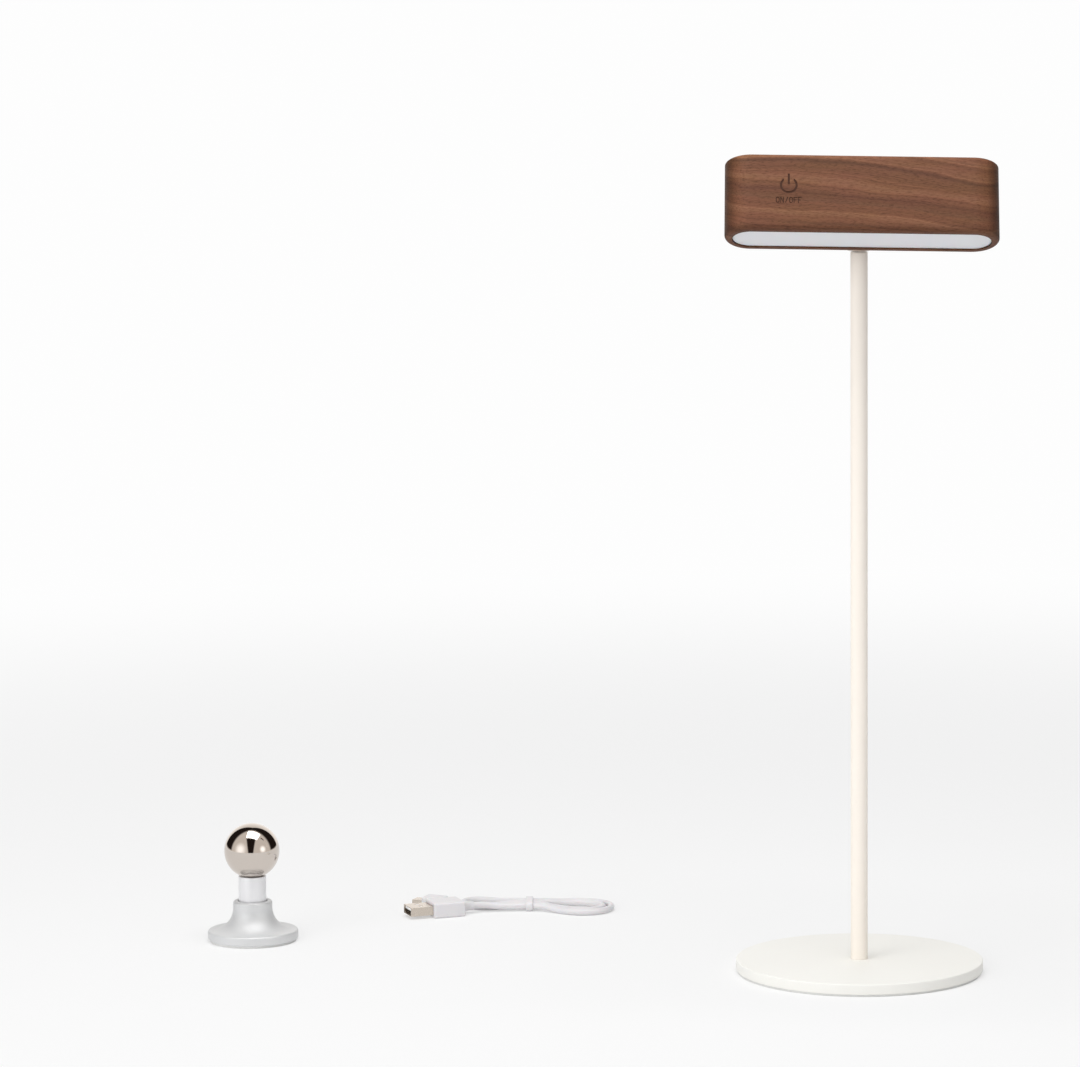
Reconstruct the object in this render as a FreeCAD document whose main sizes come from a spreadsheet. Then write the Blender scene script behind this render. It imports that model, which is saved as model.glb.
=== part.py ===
import FreeCAD, Part
import Sketcher
import math
import os
from types import SimpleNamespace

from FreeCAD import Placement, Rotation
from FreeCAD import Vector as V

# Battery lamp with a wooden bar head on a magnetic ball, its spare ball mount and its charging cable.
# Millimetres. The origin is the middle of the base's underside, +Z is up and the lit side faces -Y.

doc = FreeCAD.newDocument("magnetic_balance_lamp")

# Driving sizes, grouped by sub-part
SIZES = {
    # Base disc and its foam pad
    "base_diameter": 118.0,
    "base_thickness": 5.0,
    "base_edge_round": 0.6,
    "pad_inset": 0.8,
    "pad_thickness": 1.0,
    "foot_socket_depth": 1.5,
    # Pole, a round tube with a threaded plug in each end
    "pole_diameter": 8.1,
    "pole_bore": 6.2,
    "plug_length": 16.0,
    "base_screw_diameter": 5.0,
    "base_screw_length": 14.0,
    "base_screw_head": 9.4,
    "base_screw_head_height": 2.6,
    "base_screw_drive": 3.0,
    "base_screw_drive_depth": 1.9,
    "stud_diameter": 4.0,
    "stud_in_ball": 8.0,
    "stud_in_plug": 8.0,
    # Steel ball, and the height of its centre over the table
    "ball_diameter": 27.5,
    "ball_centre_height": 357.3,
    "ball_flat_diameter": 8.8,
    # Magnet holder in the back of the head
    "ball_stand_off": 10.0,
    "ball_clearance": 0.3,
    "cup_diameter": 22.6,
    "cup_wall": 1.0,
    "cup_floor": 1.5,
    "cup_recess": 0.3,
    "seat_thickness": 5.1,
    "magnet_thickness": 5.0,
    "magnet_bore": 6.0,
    "cup_screw_diameter": 3.0,
    # Wooden head
    "head_length": 127.5,
    "head_depth": 24.8,
    "head_height": 37.8,
    "head_wall": 3.6,
    "head_top": 4.0,
    "head_top_round": 0.7,
    "head_lower_round": 2.1,
    "head_tilt": 26.3,
    "head_turn": 1.4,
    "chamber_end": 11.75,
    # Light tray, board, chips and diffuser
    "diffuser_recess": 0.6,
    "diffuser_thickness": 1.6,
    "tray_rim_depth": 4.0,
    "tray_wall": 1.2,
    "tray_floor": 1.0,
    "led_board_gap": 2.75,
    "led_board_width": 13.0,
    "led_board_thickness": 1.0,
    "led_count": 10,
    "led_end_gap": 5.5,
    "led_row_gap": 6.0,
    "led_side": 3.5,
    "led_depth": 2.8,
    "led_height": 0.8,
    "tray_screw_inset": 8.5,
    "tray_screw_reach": 6.0,
    "tray_screw_head": 4.0,
    "tray_screw_head_height": 1.4,
    "tray_notch_length": 10.0,
    "tray_notch_width": 4.8,
    # Touch switch behind the engraved sign
    "sign_inset": 29.35,
    "sign_depth": 0.3,
    "sign_ring_height": 3.3,
    "sign_ring_diameter": 8.2,
    "sign_ring_gap": 4.5,
    "sign_line": 1.0,
    "sign_bar_length": 5.5,
    "sign_bar_height": 6.4,
    "letter_height": 3.1,
    "letter_width": 1.75,
    "letter_pitch": 2.05,
    "letter_line": 0.45,
    "letter_drop": 4.2,
    "touch_pocket_diameter": 16.0,
    "touch_pocket_depth": 2.0,
    "electrode_diameter": 14.0,
    "electrode_thickness": 0.2,
    "touch_foam_diameter": 8.0,
    # Control board on its stand-offs, level with the battery
    "board_level": 1.0,
    "control_length": 34.0,
    "control_height": 22.0,
    "control_thickness": 1.2,
    "control_lift": 5.0,
    "standoff_diameter": 4.0,
    "board_screw_diameter": 2.0,
    "board_screw_reach": 3.5,
    "board_screw_head": 3.6,
    "board_screw_head_height": 1.3,
    "board_hole_inset": 2.6,
    # Battery cell on its tape, between the control board and the end of the chamber
    "battery_gap": 9.4,
    "battery_end_gap": 2.0,
    "battery_height": 22.0,
    "battery_thickness": 7.3,
    "battery_round": 1.5,
    "tape_thickness": 0.8,
    "tape_end_inset": 5.8,
    "tape_side_inset": 3.3,
    # Charging socket in the back of the head
    "port_inset": 25.75,
    "port_board_length": 24.0,
    "port_board_height": 10.0,
    "port_board_thickness": 1.2,
    "port_screw_inset": 1.6,
    "port_screw_spacing": 6.2,
    "port_screw_reach": 2.4,
    "port_screw_head": 3.2,
    "port_screw_head_height": 1.2,
    "port_width": 8.4,
    "port_height": 3.4,
    "bezel_width": 12.4,
    "bezel_height": 7.4,
    "bezel_wall": 1.0,
    "bezel_flange": 1.0,
    "socket_length": 3.2,
    "socket_wall": 0.3,
    "socket_back": 0.4,
    "socket_tongue_width": 4.2,
    "socket_tongue_thickness": 0.7,
    "socket_tongue_recess": 0.6,
    "pipe_diameter": 2.4,
    "pipe_offset": 8.6,
    # Inner leads
    "lead_diameter": 1.2,
    "lead_offset": 8.0,
    "lead_spacing": 3.0,
    "lead_overlap": 4.0,
    "battery_lead_level": 4.0,
    "battery_lead_spacing": 4.0,
    "port_lead_inset": 6.0,
    "port_lead_end": 6.0,
    # Spare ball mount
    "mount_x": -297.0,
    "mount_y": 80.0,
    "mount_pad_thickness": 1.0,
    "mount_pad_inset": 1.1,
    "mount_base_diameter": 45.0,
    "mount_base_edge": 4.6,
    "mount_edge_round": 1.0,
    "mount_base_height": 19.2,
    "mount_neck_diameter": 19.5,
    "mount_neck_round": 1.2,
    "mount_shelf": 1.75,
    "post_diameter": 13.8,
    "post_seat_depth": 3.2,
    "post_seat_gap": 0.4,
    "post_length": 15.6,
    "mount_ball_flat": 11.0,
    "mount_screw_diameter": 5.0,
    "mount_screw_head": 9.0,
    "mount_screw_head_height": 3.0,
    "mount_screw_recess": 1.0,
    "mount_screw_drive": 4.0,
    "mount_screw_drive_depth": 2.1,
    "mount_screw_in_ball": 9.0,
    # Charging cable, tied in a flat hank
    "cable_x": -157.0,
    "cable_y": 152.0,
    "cord_diameter": 3.4,
    "tie_width": 3.6,
    "tie_thickness": 0.8,
    "tie_gap": 0.1,
    "usb_a_body_length": 17.0,
    "usb_a_body_width": 15.8,
    "usb_a_body_height": 7.8,
    "usb_a_shell_length": 12.0,
    "usb_a_shell_width": 12.0,
    "usb_a_shell_height": 4.5,
    "usb_a_shell_wall": 0.3,
    "usb_a_seat_depth": 2.0,
    "usb_a_tongue_recess": 0.9,
    "usb_a_tongue_height": 1.8,
    "usb_a_window": 2.4,
    "usb_a_window_spacing": 5.2,
    "usb_a_relief_length": 6.5,
    "usb_a_relief_diameter": 6.2,
    "usb_a_relief_end": 4.2,
    "usb_a_step_diameter": 6.8,
    "usb_a_step_length": 1.6,
    "micro_body_length": 12.0,
    "micro_body_width": 10.4,
    "micro_body_tail_width": 7.4,
    "micro_body_height": 5.8,
    "micro_shell_length": 5.6,
    "micro_shell_width": 6.9,
    "micro_shell_height": 1.9,
    "micro_shell_wall": 0.25,
    "micro_shell_back": 0.95,
    "micro_seat_depth": 1.5,
    "micro_tongue_width": 3.8,
    "micro_tongue_height": 0.6,
    "micro_tongue_recess": 1.1,
    "micro_relief_length": 4.0,
    "micro_relief_diameter": 5.0,
    "micro_relief_end": 4.0,
    "plug_round": 1.1,
    # Clearances; overcut is how far a cutting tool runs past the face that it opens
    "slip_fit": 0.05,
    "turning_gap": 0.3,
    "screw_allowance": 0.2,
    "diffuser_gap": 0.15,
    "tray_gap": 0.1,
    "overcut": 1.0,
    "embed": 0.5,
}

sheet = doc.addObject("Spreadsheet::Sheet", "dim")
for row, (alias, value) in enumerate(SIZES.items(), start=1):
    sheet.set(f"A{row}", alias)
    sheet.set(f"B{row}", str(value))
    sheet.setAlias(f"B{row}", alias)
doc.recompute()

n = SimpleNamespace(**SIZES)

UP = V(0, 0, 1)
DOWN = V(0, 0, -1)
RIGHT = V(1, 0, 0)
BACK = V(0, 1, 0)
FRONT = V(0, -1, 0)

nodes = {}


# Shapes and joins

def cylinder(name, diameter, length, base=(0, 0, 0), axis=UP):
    """A round bar from base along axis; diameter and length are formulas of the sheet's cells."""
    bar = doc.addObject("Part::Cylinder", name)
    bar.setExpression("Radius", f"({diameter}) / 2")
    bar.setExpression("Height", length)
    bar.Placement = Placement(V(*base), Rotation(UP, axis))
    return bar


def cone(name, start, end, length, base=(0, 0, 0), axis=UP):
    """A tapered round bar from the start diameter to the end diameter."""
    bar = doc.addObject("Part::Cone", name)
    bar.setExpression("Radius1", f"({start}) / 2")
    bar.setExpression("Radius2", f"({end}) / 2")
    bar.setExpression("Height", length)
    bar.Placement = Placement(V(*base), Rotation(UP, axis))
    return bar


def box(name, length, width, height, centre=(0, 0, 0)):
    """A block with its sides along X, Y and Z, about its centre."""
    block = doc.addObject("Part::Box", name)
    block.setExpression("Length", length)
    block.setExpression("Width", width)
    block.setExpression("Height", height)
    doc.recompute([block])
    half = V(block.Length.Value, block.Width.Value, block.Height.Value) * 0.5
    block.Placement.Base = V(*centre) - half
    return block


def sphere(name, diameter, centre):
    """A ball about its centre."""
    ball = doc.addObject("Part::Sphere", name)
    ball.setExpression("Radius", f"({diameter}) / 2")
    ball.Placement.Base = V(*centre)
    return ball


def prism(name, length, width, height, z=0.0):
    """An upright bar with fully round ends, length along X, made as a pad of a slot-shaped sketch."""
    body = doc.addObject("PartDesign::Body", name)
    sketch = body.newObject("Sketcher::SketchObject", name + "_outline")
    plane = next(p for p in body.Origin.OriginFeatures if p.Role == "XY_Plane")
    sketch.AttachmentSupport = [(plane, "")]
    sketch.MapMode = "FlatFace"
    quarter = math.pi / 2
    sketch.addGeometry(Part.ArcOfCircle(Part.Circle(V(5, 0, 0), UP, 2), -quarter, quarter))
    sketch.addGeometry(Part.ArcOfCircle(Part.Circle(V(-5, 0, 0), UP, 2), quarter, 3 * quarter))
    sketch.addGeometry(Part.LineSegment(V(5, 2, 0), V(-5, 2, 0)))
    sketch.addGeometry(Part.LineSegment(V(-5, -2, 0), V(5, -2, 0)))
    for first, first_end, second, second_end in ((0, 2, 2, 1), (2, 2, 1, 1), (1, 2, 3, 1), (3, 2, 0, 1)):
        sketch.addConstraint(Sketcher.Constraint("Tangent", first, first_end, second, second_end))
    sketch.addConstraint(Sketcher.Constraint("Equal", 0, 1))
    sketch.addConstraint(Sketcher.Constraint("Symmetric", 0, 3, 1, 3, -1, 1))
    sketch.addConstraint(Sketcher.Constraint("Horizontal", 2))
    radius = sketch.addConstraint(Sketcher.Constraint("Radius", 0, 2))
    apart = sketch.addConstraint(Sketcher.Constraint("DistanceX", 1, 3, 0, 3, 10))
    sketch.setExpression(f"Constraints[{radius}]", f"({width}) / 2")
    sketch.setExpression(f"Constraints[{apart}]", f"({length}) - ({width})")
    pad = body.newObject("PartDesign::Pad", name + "_pad")
    pad.Profile = sketch
    pad.setExpression("Length", height)
    body.Placement.Base = V(0, 0, z)
    return body


def fuse(name, *pieces):
    """Joins pieces into one solid."""
    joined = doc.addObject("Part::MultiFuse", name)
    joined.Shapes = list(pieces)
    joined.Refine = True
    return joined


def cut(name, base, *tools):
    """Takes the tools away from the base."""
    left = doc.addObject("Part::Cut", name)
    left.Base = base
    left.Tool = tools[0] if len(tools) == 1 else group(name + "_tools", *tools)
    return left


def group(name, *pieces):
    """Holds like pieces together as separate solids."""
    held = doc.addObject("Part::Compound", name)
    held.Links = list(pieces)
    return held


def rounded(name, base, radius, wanted):
    """Rounds the edges of base that the wanted test picks."""
    doc.recompute()
    smooth = doc.addObject("Part::Fillet", name)
    smooth.Base = base
    picked = [i for i, edge in enumerate(base.Shape.Edges, start=1) if wanted(edge)]
    smooth.Edges = [(i, radius, radius) for i in picked]
    return smooth


def node(label, piece, place=None):
    """Names a finished sub-part and moves it to its place."""
    piece.Label = label
    if place is not None:
        piece.Placement = place.multiply(piece.Placement)
    nodes[label] = piece
    return piece


# Base disc, foam pad and screw
base_top = n.pad_thickness + n.base_thickness
socket_floor = base_top - n.foot_socket_depth
node("base_pad", cylinder("base_pad", "dim.base_diameter - 2 * dim.pad_inset", "dim.pad_thickness"))
base_disc = cylinder("base_disc", "dim.base_diameter", "dim.base_thickness", (0, 0, n.pad_thickness))
base_disc = rounded("base_disc_round", base_disc, n.base_edge_round, lambda edge: edge.Length > n.base_diameter)
base_through = cylinder("base_through", "dim.base_screw_diameter + 2 * dim.screw_allowance",
                        "dim.base_thickness + 2 * dim.overcut", (0, 0, n.pad_thickness - n.overcut))
base_sink = cone("base_sink", "dim.base_screw_head + 2 * dim.screw_allowance",
                 "dim.base_screw_diameter + 2 * dim.screw_allowance", "dim.base_screw_head_height",
                 (0, 0, n.pad_thickness))
base_socket = cylinder("base_socket", "dim.pole_diameter + 2 * dim.slip_fit",
                       "dim.foot_socket_depth + dim.overcut",
                       (0, 0, socket_floor))
node("base_plate", cut("base_plate", base_disc, base_through, base_sink, base_socket))

screw_head = cone("base_screw_head", "dim.base_screw_head", "dim.base_screw_diameter",
                  "dim.base_screw_head_height", (0, 0, n.pad_thickness))
screw_shank = cylinder("base_screw_shank", "dim.base_screw_diameter", "dim.base_screw_length",
                       (0, 0, n.pad_thickness))
screw_drive = cylinder("base_screw_drive", "dim.base_screw_drive", "dim.base_screw_drive_depth + dim.overcut",
                       (0, 0, n.pad_thickness - n.overcut))
node("base_screw", cut("base_screw", fuse("base_screw_body", screw_head, screw_shank), screw_drive))

# Pole tube and its two threaded plugs
ball_radius = n.ball_diameter / 2
flat_radius = n.ball_flat_diameter / 2
ball_foot = n.ball_centre_height - math.sqrt(ball_radius ** 2 - flat_radius ** 2)
pole_top = ball_foot - n.turning_gap
tube_length = f"{pole_top - socket_floor}"
tube_outer = cylinder("tube_outer", "dim.pole_diameter", tube_length, (0, 0, socket_floor))
tube_inner = cylinder("tube_inner", "dim.pole_bore", f"{tube_length} + 2 * dim.overcut",
                      (0, 0, socket_floor - n.overcut))
node("pole_tube", cut("pole_tube", tube_outer, tube_inner))

foot_plug = cylinder("foot_plug_body", "dim.pole_bore - 2 * dim.slip_fit", "dim.plug_length", (0, 0, socket_floor))
foot_thread = cylinder("foot_plug_thread", "dim.base_screw_diameter + 2 * dim.slip_fit",
                       "dim.plug_length + 2 * dim.overcut", (0, 0, socket_floor - n.overcut))
node("foot_plug", cut("foot_plug", foot_plug, foot_thread))

top_plug = cylinder("top_plug_body", "dim.pole_bore - 2 * dim.slip_fit", "dim.plug_length",
                    (0, 0, pole_top - n.plug_length))
top_thread = cylinder("top_plug_thread", "dim.stud_diameter + 2 * dim.slip_fit",
                      "dim.plug_length + 2 * dim.overcut", (0, 0, pole_top - n.plug_length - n.overcut))
node("top_plug", cut("top_plug", top_plug, top_thread))

node("ball_stud", cylinder("ball_stud", "dim.stud_diameter", "dim.stud_in_plug + dim.stud_in_ball",
                           (0, 0, pole_top - n.stud_in_plug)))

# Steel ball on the pole
ball_round = sphere("ball_round", "dim.ball_diameter", (0, 0, n.ball_centre_height))
ball_flat = cylinder("ball_flat", "dim.ball_diameter", "dim.ball_diameter", (0, 0, ball_foot), DOWN)
ball_thread = cylinder("ball_thread", "dim.stud_diameter + 2 * dim.slip_fit", "dim.stud_in_ball + dim.overcut",
                       (0, 0, ball_foot - n.overcut))
node("steel_ball", cut("steel_ball", ball_round, ball_flat, ball_thread))

# Head frame: X along the bar, front face to -Y, origin in the middle of the bar
half_depth = n.head_depth / 2
half_height = n.head_height / 2
ball_reach = half_depth + n.ball_stand_off
to_ball = Placement(V(0, 0, n.ball_centre_height), Rotation(RIGHT, -n.head_tilt))
turned = Placement(V(0, 0, 0), Rotation(BACK, n.head_turn))
HEAD = to_ball.multiply(turned).multiply(Placement(V(0, -ball_reach, 0), Rotation()))
inner_front = -half_depth + n.head_wall
inner_back = half_depth - n.head_wall
inner_top = half_height - n.head_top

# Magnet holder: pot, ring magnet, ball seat and screw
cup_mouth = half_depth - n.cup_recess
cup_length = "dim.seat_thickness + dim.magnet_thickness + dim.cup_floor"
seat_end = cup_mouth - n.seat_thickness
magnet_end = seat_end - n.magnet_thickness
cup_inside = "dim.cup_diameter - 2 * dim.cup_wall"
cup_body = cylinder("cup_body", "dim.cup_diameter", cup_length, (0, cup_mouth, 0), FRONT)
cup_room = cylinder("cup_room", cup_inside, "dim.seat_thickness + dim.magnet_thickness + dim.overcut",
                    (0, cup_mouth + n.overcut, 0), FRONT)
cup_tap = cylinder("cup_tap", "dim.cup_screw_diameter + 2 * dim.slip_fit", "dim.cup_floor + 2 * dim.overcut",
                   (0, magnet_end + n.overcut, 0), FRONT)
node("magnet_cup", cut("magnet_cup", cup_body, cup_room, cup_tap), HEAD)

magnet_ring = cylinder("magnet_ring", f"{cup_inside} - 2 * dim.slip_fit", "dim.magnet_thickness",
                       (0, seat_end, 0), FRONT)
magnet_hole = cylinder("magnet_hole", "dim.magnet_bore", "dim.magnet_thickness + 2 * dim.overcut",
                       (0, seat_end + n.overcut, 0), FRONT)
node("ring_magnet", cut("ring_magnet", magnet_ring, magnet_hole), HEAD)

seat_disc = cylinder("seat_disc", f"{cup_inside} - 2 * dim.slip_fit", "dim.seat_thickness",
                     (0, cup_mouth, 0), FRONT)
seat_hollow = sphere("seat_hollow", "dim.ball_diameter + 2 * dim.ball_clearance", (0, ball_reach, 0))
node("ball_seat", cut("ball_seat", seat_disc, seat_hollow), HEAD)

cup_screw_shank = cylinder("cup_screw_shank", "dim.cup_screw_diameter", "dim.magnet_thickness + dim.cup_floor",
                           (0, seat_end, 0), FRONT)
cup_screw_head = cylinder("cup_screw_head", "dim.magnet_bore - 2 * dim.slip_fit", "dim.magnet_thickness / 3",
                          (0, seat_end, 0), FRONT)
node("cup_screw", fuse("cup_screw", cup_screw_shank, cup_screw_head), HEAD)

# Heights of the light parts, from the lower face up
diffuser_low = -half_height + n.diffuser_recess
rim_low = diffuser_low + n.diffuser_thickness
floor_low = rim_low + n.tray_rim_depth
floor_top = floor_low + n.tray_floor
opening_length = "(dim.head_length - 2 * dim.head_wall)"
opening_width = "(dim.head_depth - 2 * dim.head_wall)"

# Places along the head, each from the end that it belongs to
half_length = n.head_length / 2
chamber_reach = half_length - n.chamber_end
tray_screw_x = half_length - n.tray_screw_inset
sign_x = -half_length + n.sign_inset
port_x = half_length - n.port_inset


def end_screws(name, diameter, length, z, axis):
    """The two screws or holes at the ends of the tray."""
    return [cylinder(f"{name}_{side}", diameter, length, (x, 0, z), axis)
            for side, x in (("left", -tray_screw_x), ("right", tray_screw_x))]


# Wooden shell
shell_bar = prism("shell_bar", "dim.head_length", "dim.head_depth", "dim.head_height", -half_height)
shell_bar = rounded("shell_top_round", shell_bar, n.head_top_round,
                    lambda edge: abs(edge.CenterOfMass.z - half_height) < 0.01)
shell_bar = rounded("shell_lower_round", shell_bar, n.head_lower_round,
                    lambda edge: abs(edge.CenterOfMass.z + half_height) < 0.01)
tray_room = prism("tray_room", opening_length, opening_width, f"{floor_top + half_height} + dim.overcut",
                  -half_height - n.overcut)
chamber = box("chamber", f"{2 * chamber_reach}", opening_width, f"{inner_top - floor_top} + dim.overcut",
              (0, 0, (inner_top + floor_top - n.overcut) / 2))
cup_hole = cylinder("cup_hole", "dim.cup_diameter + 2 * dim.turning_gap", "dim.head_wall + 2 * dim.overcut",
                    (0, half_depth + n.overcut, 0), FRONT)
touch_pocket = cylinder("touch_pocket", "dim.touch_pocket_diameter", "dim.touch_pocket_depth + dim.overcut",
                        (sign_x, inner_front + n.overcut, 0), FRONT)
tray_holes = end_screws("tray_hole", "dim.board_screw_diameter + 2 * dim.slip_fit",
                        "dim.tray_screw_reach + dim.overcut", floor_top - n.overcut, UP)


def port_slot(name, width, height, length, y):
    """A slot through the back of the head, round at both ends."""
    slot = prism(name, width, height, length)
    slot.Placement = Placement(V(port_x, y, 0), Rotation(RIGHT, 90))
    return slot


bezel_inside = half_depth - n.bezel_flange
port_sleeve = ("dim.port_width + 2 * dim.bezel_wall", "dim.port_height + 2 * dim.bezel_wall")
port_hole = port_slot("port_hole", f"{port_sleeve[0]} + 2 * dim.slip_fit", f"{port_sleeve[1]} + 2 * dim.slip_fit",
                      "dim.head_wall + 2 * dim.overcut", half_depth + n.overcut)
port_rebate = port_slot("port_rebate", "dim.bezel_width + 2 * dim.slip_fit",
                        "dim.bezel_height + 2 * dim.slip_fit", "dim.bezel_flange + dim.overcut",
                        half_depth + n.overcut)
pipe_x = port_x + n.pipe_offset
pipe_hole = cylinder("pipe_hole", "dim.pipe_diameter + 2 * dim.slip_fit", "dim.head_wall + 2 * dim.overcut",
                     (pipe_x, half_depth + n.overcut, 0), FRONT)
port_screw_x = port_x - n.port_board_length / 2 + n.port_screw_inset
port_screw_levels = (n.port_screw_spacing / 2, -n.port_screw_spacing / 2)
port_taps = [cylinder(f"port_tap_{i}", "dim.board_screw_diameter + 2 * dim.slip_fit",
                      "dim.port_screw_reach + dim.overcut", (port_screw_x, inner_back - n.overcut, z), BACK)
             for i, z in enumerate(port_screw_levels)]


# Engraved sign: a ring open at the top with a bar in it, and the words on and off below
sign_face = -half_depth + n.sign_depth


def stroke(name, x, z, width, height, lean=0.0):
    """One straight groove of the sign, centred at x and z of the front face."""
    depth = n.sign_depth + n.overcut
    groove = box(name, f"{width}", "dim.sign_depth + dim.overcut", f"{height}")
    middle = V(width / 2, depth / 2, height / 2)
    tilted = Rotation(BACK, lean)
    groove.Placement = Placement(V(x, sign_face - depth / 2, z) - tilted.multVec(middle), tilted)
    return groove


def letter(name, kind, x, z):
    """One capital letter or slash of straight grooves and a slot-shaped ring."""
    high = n.letter_height
    wide = n.letter_width
    line = n.letter_line
    side = (wide - line) / 2
    if kind == "O":
        outer = prism(name + "_outer", f"{high}", f"{wide}", "dim.sign_depth + dim.overcut")
        inner = prism(name + "_inner", f"{high - 2 * line}", f"{wide - 2 * line}",
                      "dim.sign_depth + 3 * dim.overcut", -n.overcut)
        ring = cut(name + "_ring", outer, inner)
        ring.Placement = Placement(V(x, sign_face, z), Rotation(RIGHT, 90)).multiply(
            Placement(V(0, 0, 0), Rotation(UP, 90)))
        return [ring]
    if kind == "N":
        lean = math.degrees(math.atan2(wide - line, high))
        return [stroke(name + "_left", x - side, z, line, high), stroke(name + "_right", x + side, z, line, high),
                stroke(name + "_slope", x, z, line, high, -lean)]
    if kind == "F":
        return [stroke(name + "_stem", x - side, z, line, high),
                stroke(name + "_top", x, z + (high - line) / 2, wide, line),
                stroke(name + "_middle", x - line / 2, z, wide - line, line)]
    return [stroke(name + "_slash", x, z, line, high, 20)]


ring_z = n.sign_ring_height
ring_outer = cylinder("sign_ring_outer", "dim.sign_ring_diameter", "dim.sign_depth + dim.overcut",
                      (sign_x, sign_face, ring_z), FRONT)
ring_inner = cylinder("sign_ring_inner", "dim.sign_ring_diameter - 2 * dim.sign_line",
                      "dim.sign_depth + 3 * dim.overcut", (sign_x, sign_face + n.overcut, ring_z), FRONT)
ring_gap = box("sign_ring_opening", "dim.sign_ring_gap", "dim.sign_depth + 4 * dim.overcut",
               "dim.sign_ring_diameter / 2", (sign_x, sign_face, ring_z + n.sign_ring_diameter / 2))
sign_parts = [cut("sign_ring", ring_outer, ring_inner, ring_gap)]
sign_parts.append(stroke("sign_bar", sign_x, n.sign_bar_height, n.sign_line, n.sign_bar_length))
for place, kind in enumerate("ON/OFF"):
    letter_x = sign_x + (place - 2.5) * n.letter_pitch
    sign_parts += letter(f"letter_{place}", kind, letter_x, -n.letter_drop)

shell = cut("wood_shell", shell_bar, tray_room, chamber, cup_hole, touch_pocket, *tray_holes, port_hole,
            port_rebate, pipe_hole, *port_taps, *sign_parts)
node("wood_shell", shell, HEAD)

# Diffuser and light tray
node("diffuser", prism("diffuser", f"{opening_length} - 2 * dim.diffuser_gap",
                       f"{opening_width} - 2 * dim.diffuser_gap", "dim.diffuser_thickness", diffuser_low), HEAD)
tray_size = (f"{opening_length} - 2 * dim.tray_gap", f"{opening_width} - 2 * dim.tray_gap")
tray_outer = prism("tray_outer", tray_size[0], tray_size[1], "dim.tray_rim_depth + dim.tray_floor", rim_low)
tray_inner = prism("tray_inner", f"{tray_size[0]} - 2 * dim.tray_wall", f"{tray_size[1]} - 2 * dim.tray_wall",
                   "dim.tray_rim_depth + dim.overcut", rim_low - n.overcut)
lead_x = sign_x + n.lead_offset
lead_y = inner_front + n.control_lift + n.control_thickness + n.lead_diameter / 2 + n.slip_fit
tray_notch = box("tray_notch", "dim.tray_notch_length", "dim.tray_notch_width",
                 "dim.tray_floor + 2 * dim.overcut", (lead_x, lead_y, (floor_low + floor_top) / 2))
tray_clear = end_screws("tray_clear", "dim.board_screw_diameter + 2 * dim.screw_allowance",
                        "dim.tray_floor + 2 * dim.overcut", floor_low - n.overcut, UP)
node("light_tray", cut("light_tray", tray_outer, tray_inner, tray_notch, *tray_clear), HEAD)
screw_shanks = end_screws("tray_shank", "dim.board_screw_diameter", "dim.tray_floor + dim.tray_screw_reach",
                          floor_low, UP)
screw_heads = end_screws("tray_head", "dim.tray_screw_head", "dim.tray_screw_head_height", floor_low, DOWN)
tray_screws = [fuse(f"tray_screw_{i}", shank, head)
               for i, (shank, head) in enumerate(zip(screw_shanks, screw_heads))]
node("tray_screws", group("tray_screws", *tray_screws), HEAD)

# Light board and its chips
board_low = floor_low - n.led_board_thickness
led_board_length = 2 * (tray_screw_x - n.tray_screw_head / 2 - n.led_board_gap)
led_pitch = (led_board_length - 2 * n.led_end_gap) / (n.led_count - 1)
node("led_board", box("led_board", f"{led_board_length}", "dim.led_board_width", "dim.led_board_thickness",
                      (0, 0, board_low + n.led_board_thickness / 2)), HEAD)
chips = []
for place in range(n.led_count):
    chip_x = (place - (n.led_count - 1) / 2) * led_pitch
    for side in (-1, 1):
        chips.append(box(f"chip_{place}_{'front' if side < 0 else 'back'}", "dim.led_side", "dim.led_depth",
                         "dim.led_height", (chip_x, side * n.led_row_gap / 2, board_low - n.led_height / 2)))
node("leds", group("leds", *chips), HEAD)

# Touch electrode and its conductive foam
electrode_y = inner_front - n.touch_pocket_depth
control_front = inner_front + n.control_lift
control_back = control_front + n.control_thickness
node("touch_electrode", cylinder("touch_electrode", "dim.electrode_diameter", "dim.electrode_thickness",
                                 (sign_x, electrode_y, 0), BACK), HEAD)
node("touch_foam", cylinder("touch_foam", "dim.touch_foam_diameter",
                            "dim.touch_pocket_depth - dim.electrode_thickness + dim.control_lift",
                            (sign_x, electrode_y + n.electrode_thickness, 0), BACK), HEAD)

# Control board with its stand-offs and screws

def board_corners():
    """The four screw places of the control board."""
    reach_x = n.control_length / 2 - n.board_hole_inset
    reach_z = n.control_height / 2 - n.board_hole_inset
    return [(sign_x + i * reach_x, n.board_level + k * reach_z) for i in (-1, 1) for k in (-1, 1)]


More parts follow.
